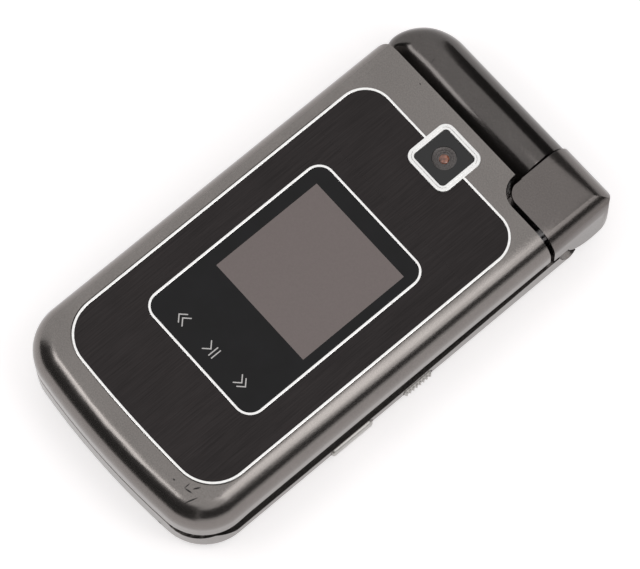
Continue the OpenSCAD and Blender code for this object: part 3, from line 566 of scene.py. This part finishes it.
class PHONE_OT_window(bpy.types.Operator):
    """Glossy outer window with the display behind it and the three touch icons"""

    bl_idname = "phone.window"
    bl_label = "Outer window"

    def execute(self, context):
        lo, hi = corners("outer_window")
        # The square that the printed window leaves clear lies near the display's upper edge.
        low, high = corners("outer_display")
        side, margin = 24.0, 1.5
        mid = ((low.x + high.x) / 2, high.y - margin - side / 2)
        # Back-printed acrylic: black ink under a hard glossy face, and the sleeping display's flat warm grey.
        glass = finish("black_printed_acrylic", "#0d0c0d", "#121113", grain=4, rough=(0.05, 0.08),
                       specular_ior_level=0.22)

        def display(tree, old):
            spot = place(tree, (1, 1, 1), (*mid, 0))
            away = add(tree, "ShaderNodeVectorMath", {0: spot}, operation="ABSOLUTE").outputs[0]
            axes = add(tree, "ShaderNodeSeparateXYZ", {0: away})
            far = maths(tree, "MAXIMUM", axes.outputs[0], axes.outputs[1])
            grain = ranged(tree, noise(tree, place(tree, (3, 3, 3))), 0.3, 0.7, 0.97, 1.03)
            grey = add(tree, "ShaderNodeCombineColor", {0: grain, 1: grain, 2: grain}).outputs[0]
            panel = blended(tree, 1.0, grey, tuple(look().display_colour), "MULTIPLY")
            return blended(tree, maths(tree, "LESS_THAN", far, side / 2), old, panel)

        into_colour(glass, display)
        bm = bmesh.new()
        profile = [(0, lo.z)] + quarter(0, hi.z, 0.1, 3)
        loft(bm, stacked(lambda inset: round_rect(lo, hi, WINDOW_R - TRIM_WIDTH, inset), profile))
        piece("outer_window_glossy", bm, [glass], "lid", ["outer_window"])
        # Screen-printed ink: flat pale grey that shows the touch areas.
        ink = finish("pale_grey_ink", "#b9b6b4", "#d6d3d1", grain=0.15, rough=(0.45, 0.6))
        bm = bmesh.new()
        # The icons' row, an arrow's width and half height, and half the step of a double arrow.
        y, w, h, half_step = -24.4, 1.15, 1.15, 0.5
        lines = []
        for x, way in ((-7.8, -1), (8.4, 1)):
            for off in (-half_step, half_step):
                tip = x + way * w / 2 + off
                lines.append([(tip - way * w, y + h), (tip, y), (tip - way * w, y - h)])
        # Play and pause: one arrow and two bars.
        lines.append([(-1.2, y + h), (-0.05, y), (-1.2, y - h)])
        lines += [[(x, y + h), (x, y - h)] for x in (0.6, 1.35)]
        strokes(bm, lines, look().icon_width / MM, lambda p: hi.z + INK)
        piece("touch_icons", bm, [ink], "lid")
        return {"FINISHED"}


class PHONE_OT_camera(bpy.types.Operator):
    """Raised camera ring, its dark window and the lens"""

    bl_idname = "phone.camera"
    bl_label = "Camera"

    def execute(self, context):
        self.ring()
        self.window_and_lens()
        return {"FINISHED"}

    def square(self, half, foot, top):
        """Two corners of a square block about the camera's middle."""
        return Vector((-half, RING_Y - half, foot)), Vector((half, RING_Y + half, top))

    def ring(self):
        lo, hi = self.square(RING_HALF, corners("camera_glass")[1].z - 0.1, corners("camera_bezel")[1].z)
        # Bead-blasted aluminium, clear anodised: a pale, even, slightly sparkling ring.
        satin = finish("blasted_aluminium", "#ecebe9", "#f8f7f6", grain=0.12, rough=(0.25, 0.35),
                       metallic=0.9)
        # A fine groove runs round the ring's flat, past the middle of its wall.
        wall = RING_HALF - RING_OPEN
        groove, half_groove, deep = wall * 0.55, 0.06, 0.04
        profile = ([(0, lo.z)] + quarter(0, hi.z, 0.1)
                   + [(groove - half_groove, hi.z), (groove, hi.z - deep), (groove + half_groove, hi.z)]
                   + quarter(wall - 0.05, hi.z, 0.08, outer=False)
                   + [(wall, hi.z - 0.2), (wall, lo.z)])
        bm = bmesh.new()
        loft(bm, stacked(lambda inset: round_rect(lo, hi, RING_R, inset), profile), joined=True)
        piece("camera_ring_blasted", bm, [satin], "lid", ["camera_bezel"])

    def window_and_lens(self):
        foot, top = (corner.z for corner in corners("camera_glass"))
        lo, hi = self.square(RING_OPEN, foot, top)
        # Black-printed glass, ground flat: deep black with a clean reflection.
        black = finish("camera_black_glass", "#0a0a0b", "#100f10", grain=3, rough=(0.04, 0.08))
        # Anodised lens seat: turned rings of dark grey.
        seat = finish("turned_lens_seat", "#3b3838", "#6d6866", grain=0.2, rough=(0.3, 0.45), metallic=0.6)
        # Coated lens: amber-brown where its coating catches the light.
        lens = finish("coated_lens", "#3a1c12", "#a8654a", grain=0.7, rough=(0.03, 0.06), coat_weight=1.0,
                      coat_roughness=0.03)
        # The window's outline and the turned rings have the same number of points.
        steps = 15
        count = 4 * (steps + 1)

        def turned(radius, depth):
            """A ring round the lens, at a depth under the window's face."""
            turns = [math.tau * ((k + 0.5) / count - 0.25) for k in range(count)]
            return [(radius * math.cos(a), RING_Y + radius * math.sin(a), top - depth) for a in turns]

        corner_r = RING_R - (RING_HALF - RING_OPEN)
        rim = [[(x, y, z) for x, y in round_rect(lo, hi, corner_r, inset, steps)]
               for inset, z in ((0, foot), (0, top - 0.05), (0.05, top))]
        # The seat goes down in steps, given as radius and depth, and the lens bulges from its last one.
        seat_steps = [(2.3, 0.04), (2.2, 0.1), (1.75, 0.16), (1.7, 0.24), (1.3, 0.3), (1.25, 0.4),
                      (0.95, 0.42)]
        lens_r, lens_deep = seat_steps[-1]
        bulge = 0.22
        dome = [(lens_r * math.cos(a), lens_deep - bulge * math.sin(a))
                for a in (math.radians(d) for d in (0, 20, 40, 60, 75, 86))]
        bm = bmesh.new()
        loft(bm, rim + [turned(2.35, 0), turned(*seat_steps[0])], lid=False)
        loft(bm, [turned(*step) for step in seat_steps], lid=False, floor=False, slot=1)
        loft(bm, [turned(*step) for step in dome], floor=False, slot=2)
        piece("camera_window_and_lens", bm, [black, seat, lens], "lid",
              ["camera_glass"])


class PHONE_OT_side_keys(bpy.types.Operator):
    """The two keys on the right side and the volume rocker on the left"""

    bl_idname = "phone.side_keys"
    bl_label = "Side keys"

    def execute(self, context):
        # Moulded keys in pale satin paint: brighter than the shell, softly reflecting.
        paint = finish("pale_satin_paint", "#a8a5a1", "#c4c1bd", grain=0.25, rough=(0.28, 0.38),
                       bump=0.004, metallic=0.6, coat_weight=0.2)
        # A key's edge: how far it is drawn in and how deep it lies under the key's face. The ribs stand
        # on the voice key, so its face lies deeper.
        smooth = ((0, 0.3), (0.1, 0.12), (0.3, 0))
        ribbed = ((0, 0.4), (0.1, 0.3), (0.3, 0.22))
        for name, side, edge in (("camera_key", 1, smooth), ("voice_key", 1, ribbed),
                                 ("volume_key", -1, smooth)):
            lo, hi = corners(name)
            face, root = (hi.x, lo.x) if side > 0 else (lo.x, hi.x)
            profile = [(0, root)] + [(inset, face - side * depth) for inset, depth in edge]
            bm = bmesh.new()
            loft(bm, [[(x, y, z) for y, z in round_rect((lo.y, lo.z), (hi.y, hi.z), 0.7, inset)]
                      for inset, x in profile])
            if name == "voice_key":
                self.ribs(bm, lo, hi, paint)
            if name == "volume_key":
                self.nibs(bm, (lo + hi) / 2, face)
            piece(name + "_painted", bm, [paint], name, [name])
        return {"FINISHED"}

    def nibs(self, bm, mid, face):
        """A small mark near each end of the rocker."""
        for y in (mid.y - 5.5, mid.y + 5.5):
            box(bm, (face - 0.001, y - 0.6, mid.z - 0.12), (face + 0.2, y + 0.6, mid.z + 0.12))

    def ribs(self, bm, lo, hi, paint):
        """Fine grip ribs across the small key, repeated along it."""
        count, margin = look().rib_count, 0.45
        pitch = (hi.y - lo.y - 2 * margin) / (count - 1)
        first, half = lo.y + margin, pitch * 0.27
        # Half a rib's section: its depth under the key's face and its share of the half width.
        side = ((0.3, 1), (0.08, 0.8), (0, 0.3))
        section = ([(hi.x - depth, first - half * share) for depth, share in side]
                   + [(hi.x - depth, first + half * share) for depth, share in side[::-1]])
        rib = bmesh.new()
        loft(rib, [[(x, y, z) for x, y in section] for z in (lo.z + 0.25, hi.z - 0.25)])
        bm.from_mesh(row_mesh("voice_key_ribs", rib, paint, count, (0, pitch, 0)))


class PHONE_OT_keypad(bpy.types.Operator):
    """Keypad frame and the 24 keys with their legends"""

    bl_idname = "phone.keypad"
    bl_label = "Keypad"

    def execute(self, context):
        # Moulded black ABS with a fine spark texture: soft dark grey sheen.
        deck = finish("spark_textured_abs", "#0f0f10", "#1c1b1b", grain=0.2, rough=(0.4, 0.55), bump=0.01)
        dressed("keypad_frame_moulded", "keypad_frame", deck, "base", 0.06)
        # Hard-coated key caps: black, nearly glossy, slightly rubbed.
        cap = finish("hard_coated_key_cap", "#161617", "#222223", grain=0.4, rough=(0.2, 0.32),
                     bump=0.002, coat_weight=0.3, coat_roughness=0.1)
        # Laser-cut legends over paint that lets light through: white, and green and red to call.
        white = finish("white_key_legend", "#d8d8d6", "#ececea", grain=0.2, rough=(0.4, 0.5))
        green = finish("green_key_legend", "#2f9a4b", "#43b35f", grain=0.2, rough=(0.4, 0.5))
        red = finish("red_key_legend", "#b8342c", "#cf473c", grain=0.2, rough=(0.4, 0.5))
        coloured = {(4, 1): green, (4, 3): red}
        for row in range(1, 9):
            for col in range(1, 4):
                self.cap(row, col, cap, coloured.get((row, col), white))
        return {"FINISHED"}

    def cap(self, row, col, cap, legend):
        """One key: a domed cap with its printed legend."""
        name = f"key_r{row}c{col}"
        lo, hi = corners(name)
        mid, crown = (lo + hi) / 2, look().key_crown / MM
        half = (hi - lo) / 2

        def top(p):
            """Height of the domed top, flat at the cap's edge."""
            u, v = (p[0] - mid.x) / half.x, (p[1] - mid.y) / half.y
            return hi.z - crown * min(1.0, 0.5 * (u * u + v * v) + 0.15)

        # Past this inset the rings shrink towards the middle and don't keep their distance.
        kept = 1.0
        # The sides have a height of their own, and the rings on the dome follow it.
        profile = [(0, lo.z), (0, hi.z - crown - 0.12), (0.05, hi.z - crown - 0.03)]
        profile += [(inset, None) for inset in (0.14, 0.6, 1.3, 2.2, 3.4, 4.1)]
        rings = []
        for inset, z in profile:
            points = round_rect(lo, hi, 1.15, min(inset, kept), 6)
            if inset > kept:
                u, v = (half.x - inset) / (half.x - kept), (half.y - inset) / (half.y - kept)
                points = [(mid.x + (x - mid.x) * u, mid.y + (y - mid.y) * v) for x, y in points]
            rings.append([(x, y, top((x, y)) if z is None else z) for x, y in points])
        bm = bmesh.new()
        loft(bm, rings)
        self.legend(bm, row, col, mid, lambda p: top(p) + INK)
        piece(name + "_cap", bm, [cap, legend], name, [name])

    def legend(self, bm, row, col, mid, raised):
        """A key's letters or its sign. raised gives the height of ink at a point."""
        x, y = mid.x, mid.y
        digits = {(5, 1): "1", (5, 2): "2 abc", (5, 3): "3 def", (6, 1): "4 ghi", (6, 2): "5 jkl",
                  (6, 3): "6 mno", (7, 1): "7 pqrs", (7, 2): "8 tuv", (7, 3): "9 wxyz", (8, 1): "*",
                  (8, 2): "0", (8, 3): "#", (2, 2): "OK", (4, 2): "CLR"}
        word = digits.get((row, col))
        if word:
            # A digit stands left of its small letters, and a word is smaller than a digit.
            first, _, rest = word.partition(" ")
            size = 2.4 if len(first) > 1 else 4.2
            shift = -2.6 if rest else 0.0
            self.letters(bm, first, size, x + shift, y, raised)
            if rest:
                self.letters(bm, rest, 2.3, x + 1.7, y, raised)
            return
        # Soft keys, four arrows, message, camera, and the handset lifted and put down.
        lines = {
            (1, 1): [[(-2.2, 0), (2.2, 0)]],
            (1, 3): [[(-2.2, 0), (2.2, 0)]],
            (1, 2): [[(-1.4, -0.7), (0, 0.7), (1.4, -0.7)]],
            (3, 2): [[(-1.4, 0.7), (0, -0.7), (1.4, 0.7)]],
            (2, 1): [[(0.7, -1.4), (-0.7, 0), (0.7, 1.4)]],
            (2, 3): [[(-0.7, -1.4), (0.7, 0), (-0.7, 1.4)]],
            (3, 1): [[(-2, -1.3), (2, -1.3), (2, 1.3), (-2, 1.3), (-2, -1.3)],
                     [(-2, 1.2), (0, -0.2), (2, 1.2)]],
            (3, 3): [[(-2, -1.2), (2, -1.2), (2, 1.1), (-2, 1.1), (-2, -1.2)],
                     circle(0, 0, 0.7, 13) + [(0.7, 0)]],
            (4, 1): [arc(0, -1.6, 2.6, 145, 35, 8), [(-2.1, -0.5), (-1.5, -0.9)],
                     [(2.1, -0.5), (1.5, -0.9)]],
            (4, 3): [arc(0, -2.0, 2.6, 145, 35, 8), [(-2.1, -1.0), (-2.1, -1.6)],
                     [(2.1, -1.0), (2.1, -1.6)]],
        }[(row, col)]
        strokes(bm, [[(x + u, y + v) for u, v in line] for line in lines], 0.35, raised, 1)

    def letters(self, bm, text, size, x, y, raised):
        """Printed letters of a key, laid on its dome."""
        curve = bpy.data.curves.new("legend", "FONT")
        curve.body, curve.size, curve.resolution_u = text, size * MM, 3
        curve.align_x, curve.align_y = "CENTER", "CENTER"
        seed = bpy.data.objects.new("legend", curve)
        bpy.context.scene.collection.objects.link(seed)
        graph = bpy.context.evaluated_depsgraph_get()
        mesh = bpy.data.meshes.new_from_object(seed.evaluated_get(graph))
        bpy.data.objects.remove(seed)
        for vert in mesh.vertices:
            spot = vert.co / MM + Vector((x, y, 0))
            vert.co = Vector((spot.x, spot.y, raised(spot))) * MM
        start = len(bm.faces)
        bm.from_mesh(mesh)
        bm.faces.ensure_lookup_table()
        for face in bm.faces[start:]:
            face.material_index = 1


class PHONE_OT_lid_inside(bpy.types.Operator):
    """Inner cover, main window, earpiece grille and bumpers"""

    bl_idname = "phone.lid_inside"
    bl_label = "Inside of the lid"

    def execute(self, context):
        # High-gloss black ABS, moulded in a polished tool: piano black with faint ripples.
        gloss = finish("polished_black_abs", "#101011", "#19191a", grain=1.5, rough=(0.1, 0.18),
                       bump=0.002, coat_weight=0.5, coat_roughness=0.06)
        dressed("lid_inner_cover_polished", "lid_inner_cover", gloss, "lid", 0.08)
        lo, hi = corners("main_window")
        # Hard-coated window over a sleeping display: black border, dark blue-grey panel.
        glass = finish("main_window_acrylic", "#08080a", "#0c0c0e", grain=5, rough=(0.03, 0.06))
        low, high = corners("main_display")

        def panel(tree, old):
            """The panel shows inside the printed border, which covers 0.5 and 2 mm of its sides."""
            spot = place(tree, (1, 1, 1), ((low.x + high.x) / 2, (low.y + high.y) / 2, 0))
            away = add(tree, "ShaderNodeVectorMath", {0: spot}, operation="ABSOLUTE").outputs[0]
            axes = add(tree, "ShaderNodeSeparateXYZ", {0: away})
            half = (high - low) / 2
            inside = maths(tree, "MULTIPLY", maths(tree, "LESS_THAN", axes.outputs[0], half.x - 0.5),
                           maths(tree, "LESS_THAN", axes.outputs[1], half.y - 2.0))
            return blended(tree, inside, old, "#23262c")

        into_colour(glass, panel)
        bm = bmesh.new()
        profile = [(0, hi.z)] + [(i, lo.z + hi.z - z) for i, z in quarter(0, hi.z, 0.1, 3)]
        loft(bm, stacked(lambda inset: round_rect(lo, hi, 2.5, inset), profile))
        piece("main_window_glossy", bm, [glass], "lid", ["main_window"])
        # Woven stainless gauze over the earpiece: fine bright wires on black.
        gauze = finish("stainless_gauze", "#5c5c5e", "#8e8e90", grain=0.2, rough=(0.3, 0.45),
                       metallic=1.0)
        lo, hi = corners("earpiece")
        mid, z = (lo + hi) / 2, lo.z - 0.35
        bm = bmesh.new()
        wire = bmesh.new()
        box(wire, (mid.x - 3.35, mid.y - 0.45, z), (mid.x - 3.27, mid.y + 0.45, z + 0.06))
        bm.from_mesh(row_mesh("gauze_across", wire, gauze, 33, (0.2, 0, 0)))
        wire = bmesh.new()
        box(wire, (mid.x - 3.4, mid.y - 0.42, z + 0.03), (mid.x + 3.4, mid.y - 0.34, z + 0.09))
        bm.from_mesh(row_mesh("gauze_along", wire, gauze, 5, (0, 0.19, 0)))
        piece("earpiece_gauze", bm, [gauze], "lid")
        # Soft silicone bumpers, matt black.
        rubber = finish("matt_silicone", "#161616", "#222222", grain=0.3, rough=(0.6, 0.75), bump=0.006)
        bm = bmesh.new()
        lo, hi = corners("lid_bumpers")
        r = (hi.y - lo.y) / 2
        for x in (lo.x + r, hi.x - r):
            loft(bm, [[(u, v, lo.z + hi.z - z) for u, v in circle(x, lo.y + r, r - inset, 32)]
                      for inset, z in [(0, lo.z)] + quarter(0, hi.z, 0.15, 4)])
        piece("lid_bumpers_silicone", bm, [rubber], "lid", ["lid_bumpers"])
        return {"FINISHED"}


class PHONE_OT_back(bpy.types.Operator):
    """Battery cover, screws, loudspeaker gauze and charging contacts"""

    bl_idname = "phone.back"
    bl_label = "Back and sides"

    def execute(self, context):
        # Textured soft-touch cover: darker and duller than the shell.
        soft = finish("soft_touch_cover", "#4a4745", "#5b5856", grain=0.35, rough=(0.5, 0.62),
                      bump=0.012, mottle=(10, 0.05))
        dressed("battery_cover_soft_touch", "battery_cover", soft, "base", 0.1)
        # Blackened steel screws, cross recess slightly bright at its edges.
        steel = finish("blackened_steel_screws", "#2b2b2c", "#4b4b4c", grain=0.15, rough=(0.3, 0.45),
                       metallic=0.9)
        paint_node("base_screws", steel)
        # Black-oxidised steel gauze behind the loudspeaker's slots.
        gauze = finish("black_speaker_gauze", "#3a3a3b", "#5a5a5b", grain=0.2, rough=(0.35, 0.5),
                       metallic=0.8)
        lo, hi = corners("loudspeaker")
        mid = (lo + hi) / 2
        bm = bmesh.new()
        wire = bmesh.new()
        box(wire, (mid.x - 4.7, mid.y - 3.2, lo.z + 0.1), (mid.x - 4.56, mid.y + 3.2, lo.z + 0.2))
        bm.from_mesh(row_mesh("speaker_gauze_across", wire, gauze, 27, (0.35, 0, 0)))
        wire = bmesh.new()
        box(wire, (mid.x - 4.8, mid.y - 3.1, lo.z + 0.15), (mid.x + 4.8, mid.y - 2.96, lo.z + 0.25))
        bm.from_mesh(row_mesh("speaker_gauze_along", wire, gauze, 18, (0, 0.35, 0)))
        piece("speaker_gauze", bm, [gauze], "base")
        # Gold-flashed spring contacts on a black tongue inside the charging connector.
        gold = finish("gold_flashed_contacts", "#a8802f", "#d9b25a", grain=0.2, rough=(0.2, 0.35),
                      metallic=1.0)
        tongue = finish("black_nylon_tongue", "#121212", "#1e1e1e", grain=0.2, rough=(0.45, 0.6))
        lo, hi = corners("charging_connector")
        mid = (lo + hi) / 2
        bm = bmesh.new()
        box(bm, (lo.x + 1.2, mid.y - 3.9, mid.z - 0.35), (hi.x - 0.9, mid.y + 3.9, mid.z + 0.15))
        piece("connector_tongue", bm, [tongue], "base")
        pin = bmesh.new()
        box(pin, (lo.x + 1.35, lo.y + 1.55, mid.z + 0.14), (hi.x - 1.0, lo.y + 1.9, mid.z + 0.24))
        bm = bmesh.new()
        bm.from_mesh(row_mesh("pins", pin, gold, 10, (0, 0.72, 0)))
        piece("connector_contacts", bm, [gold], "base")
        return {"FINISHED"}


class PHONE_OT_insides(bpy.types.Operator):
    """Finishes of the sealed parts: boards, battery, hinge parts and modules"""

    bl_idname = "phone.insides"
    bl_label = "Sealed parts"

    def execute(self, context):
        # Solder-resist green with a darker weave of glass cloth.
        board = finish("green_solder_resist", "#14432a", "#1f5f3d", grain=0.6, rough=(0.3, 0.45),
                       bump=0.004)
        # Ground and polished hinge steel, slightly oily.
        steel = finish("ground_hinge_steel", "#a9a9ab", "#cfcfd1", grain=0.3, stretch=(0.1, 1, 1),
                       rough=(0.18, 0.3), metallic=1.0)
        # Sintered steel cartridges: dull and slightly porous.
        sintered = finish("sintered_bearing_steel", "#6f6f73", "#929296", grain=0.25, rough=(0.35, 0.5),
                          bump=0.006, metallic=1.0)
        # Heat-shrunk film round the battery.
        shrink = finish("blue_grey_shrink_wrap", "#28323c", "#36424d", grain=2.0, rough=(0.3, 0.4))
        # Translucent silicone of the key sheet.
        silicone = finish("white_key_silicone", "#a9a7a2", "#bdbbb6", grain=0.5, rough=(0.6, 0.7))
        # Moulded nylon cases of the small modules, dulled by their glass filling.
        black = finish("black_glass_filled_nylon", "#1d1d1e", "#2c2c2d", grain=0.3, rough=(0.45, 0.6),
                       bump=0.006)
        # Stamped and tin-plated shell of the charging connector.
        plated = finish("tin_plated_port", "#8c8c8f", "#b5b5b8", grain=0.3, rough=(0.25, 0.4),
                        metallic=1.0)
        # Display glass that is switched off: warm grey outside, blue-black inside.
        panel = finish("sleeping_display_panel", "#5f5856", "#6b6462", grain=0.5, rough=(0.3, 0.4))
        dark_panel = finish("sleeping_main_panel", "#1c1f25", "#262a31", grain=0.5, rough=(0.2, 0.3))
        for node, material in {
            "main_board": board, "lid_board": board, "battery": shrink, "key_sheet": silicone,
            "portrait_shaft": steel, "landscape_shaft": steel, "portrait_cartridge": sintered,
            "landscape_cartridge": sintered, "loudspeaker": black, "microphone": black,
            "camera_module": black, "earpiece": black, "charging_connector": plated,
            "outer_display": panel, "main_display": dark_panel,
        }.items():
            paint_node(node, material)
        return {"FINISHED"}


class PHONE_OT_stage(bpy.types.Operator):
    """Pale floor, soft lamps, white surroundings and the camera"""

    bl_idname = "phone.stage"
    bl_label = "Stage"

    def execute(self, context):
        scene = context.scene
        scene.view_settings.view_transform = "Standard"
        self.world(scene)
        self.floor()
        # A lamp's place and aim are in millimetres, its size in metres and its power in watts.
        self.lamp("keypad_end", (-97, -160, 290), (0, 0, 10), (0.13, 0.07), 0.1)
        self.lamp("right_side", (201, 74, 308), (20, 0, 10), (0.1, 0.3), 0.22)
        # A wall's radius is in millimetres, and its reach round and up in degrees.
        self.dark_wall("dark_wall_end", 600, (-150, -52), (1, 60))
        self.dark_wall("dark_wall_side", 600, (-50, 112), (9, 48))
        self.camera(scene)
        return {"FINISHED"}

    def world(self, scene):
        """White surroundings: fully white where they are seen, and weaker as a light."""
        made = bpy.data.worlds.new("white_tent")
        made.use_nodes = True
        tree = made.node_tree
        tree.nodes.clear()
        strength = ranged(tree, seen_rays(tree), 0, 1, 0.6, 1.0)
        shader = add(tree, "ShaderNodeBackground", {0: linear("#ffffff"), 1: strength})
        add(tree, "ShaderNodeOutputWorld", {0: shader.outputs[0]})
        scene.world = made

    def floor(self):
        """White paper that glows where it is seen, lights nothing by that, and is clear from below."""
        bm = bmesh.new()
        bmesh.ops.create_grid(bm, x_segments=1, y_segments=1, size=3.0)
        mesh = data_of("floor", bm)
        made, tree, out = blank("white_paper")
        paper = add(tree, "ShaderNodeBsdfDiffuse", {0: linear("#f2eeee")})
        strength = ranged(tree, seen_rays(tree), 0, 1, 0, 0.45)
        glow = add(tree, "ShaderNodeEmission", {0: linear("#ffffff"), 1: strength})
        both = add(tree, "ShaderNodeAddShader", {0: paper.outputs[0], 1: glow.outputs[0]})
        below = add(tree, "ShaderNodeNewGeometry").outputs["Backfacing"]
        open_below = add(tree, "ShaderNodeMixShader", {
            0: below, 1: both.outputs[0], 2: add(tree, "ShaderNodeBsdfTransparent").outputs[0]})
        tree.links.new(open_below.outputs[0], out.inputs[0])
        mesh.materials.append(made)
        floor = bpy.data.objects.new("floor", mesh)
        floor.location.z = -0.02 * MM
        bpy.context.scene.collection.objects.link(floor)

    def dark_wall(self, name, r, turn, rise):
        """A dark curved wall that only reflections see, as the room beyond an open tent is seen."""
        bm = bmesh.new()
        heights = [r * math.tan(math.radians(e)) for e in rise]
        loft(bm, [[(x, y, z) for x, y in arc(0, 0, r, *turn, 48)] for z in heights], lid=False,
             floor=False, ends=True)
        mesh = data_of(name, bm)
        made, tree, out = blank("dark_room")
        dark = add(tree, "ShaderNodeBsdfDiffuse", {0: linear("#0b0a0a")})
        tree.links.new(dark.outputs[0], out.inputs[0])
        mesh.materials.append(made)
        wall = bpy.data.objects.new(name, mesh)
        bpy.context.scene.collection.objects.link(wall)
        wall.visible_camera = wall.visible_diffuse = wall.visible_shadow = False
        wall.visible_transmission = False

    def lamp(self, name, at, to, size, watts):
        """A flat rectangular lamp that faces a point."""
        data = bpy.data.lights.new(name, "AREA")
        data.shape, data.size, data.size_y, data.energy = "RECTANGLE", size[0], size[1], watts
        made = bpy.data.objects.new(name, data)
        made.location = Vector(at) * MM
        made.rotation_euler = (Vector(to) - Vector(at)).to_track_quat("-Z", "Y").to_euler()
        bpy.context.scene.collection.objects.link(made)

    def camera(self, scene):
        """The photo's camera, solved from the phone's straight edges."""
        azimuth, elevation, roll = (math.radians(d) for d in (51.4, 70.08, -2.46))
        aim, distance = Vector((1.15, 0.28, 8.0)), 746
        back = Vector((math.sin(azimuth) * math.cos(elevation), -math.cos(azimuth) * math.cos(elevation),
                       math.sin(elevation)))
        up = (Vector((0, 0, 1)) - back * back.z).normalized()
        right = up.cross(back)
        turned = right * math.cos(roll) + up * math.sin(roll)
        up = up * math.cos(roll) - right * math.sin(roll)
        data = bpy.data.cameras.new("camera")
        data.sensor_width, data.lens = 36.0, 230.0
        data.clip_start, data.clip_end = 0.05, 20.0
        made = bpy.data.objects.new("camera", data)
        matrix = Matrix((turned, up, back)).transposed().to_4x4()
        matrix.translation = (aim + back * distance) * MM
        made.matrix_world = matrix
        scene.collection.objects.link(made)
        scene.camera = made


def seen_rays(tree):
    """1 for camera, glossy and transmission rays, which see the white surroundings."""
    path = add(tree, "ShaderNodeLightPath").outputs
    either = maths(tree, "MAXIMUM", path["Is Camera Ray"], path["Is Glossy Ray"])
    return maths(tree, "MAXIMUM", either, path["Is Transmission Ray"])


OPERATORS = (PHONE_OT_shells, PHONE_OT_barrel, PHONE_OT_face_plate, PHONE_OT_window, PHONE_OT_camera,
             PHONE_OT_side_keys, PHONE_OT_keypad, PHONE_OT_lid_inside, PHONE_OT_back, PHONE_OT_insides,
             PHONE_OT_stage)


class PHONE_PT_panel(bpy.types.Panel):
    """Lists the phone's sizes, colours and pieces"""

    bl_idname = "PHONE_PT_panel"
    bl_label = "Flip phone"
    bl_space_type = "VIEW_3D"
    bl_region_type = "UI"
    bl_category = "Flip phone"

    def draw(self, context):
        for name in PhoneLook.__annotations__:
            self.layout.prop(context.scene.phone_look, name)
        for operator in OPERATORS:
            self.layout.operator(operator.bl_idname)


CLASSES = (PhoneLook, *OPERATORS, PHONE_PT_panel)


def register():
    for cls in CLASSES:
        bpy.utils.register_class(cls)
    bpy.types.Scene.phone_look = PointerProperty(type=PhoneLook)


def unregister():
    del bpy.types.Scene.phone_look
    for cls in reversed(CLASSES):
        bpy.utils.unregister_class(cls)


def main():
    register()
    for operator in OPERATORS:
        group, name = operator.bl_idname.split(".")
        getattr(getattr(bpy.ops, group), name)()
    bpy.context.view_layer.update()


if __name__ == "__main__":
    main()
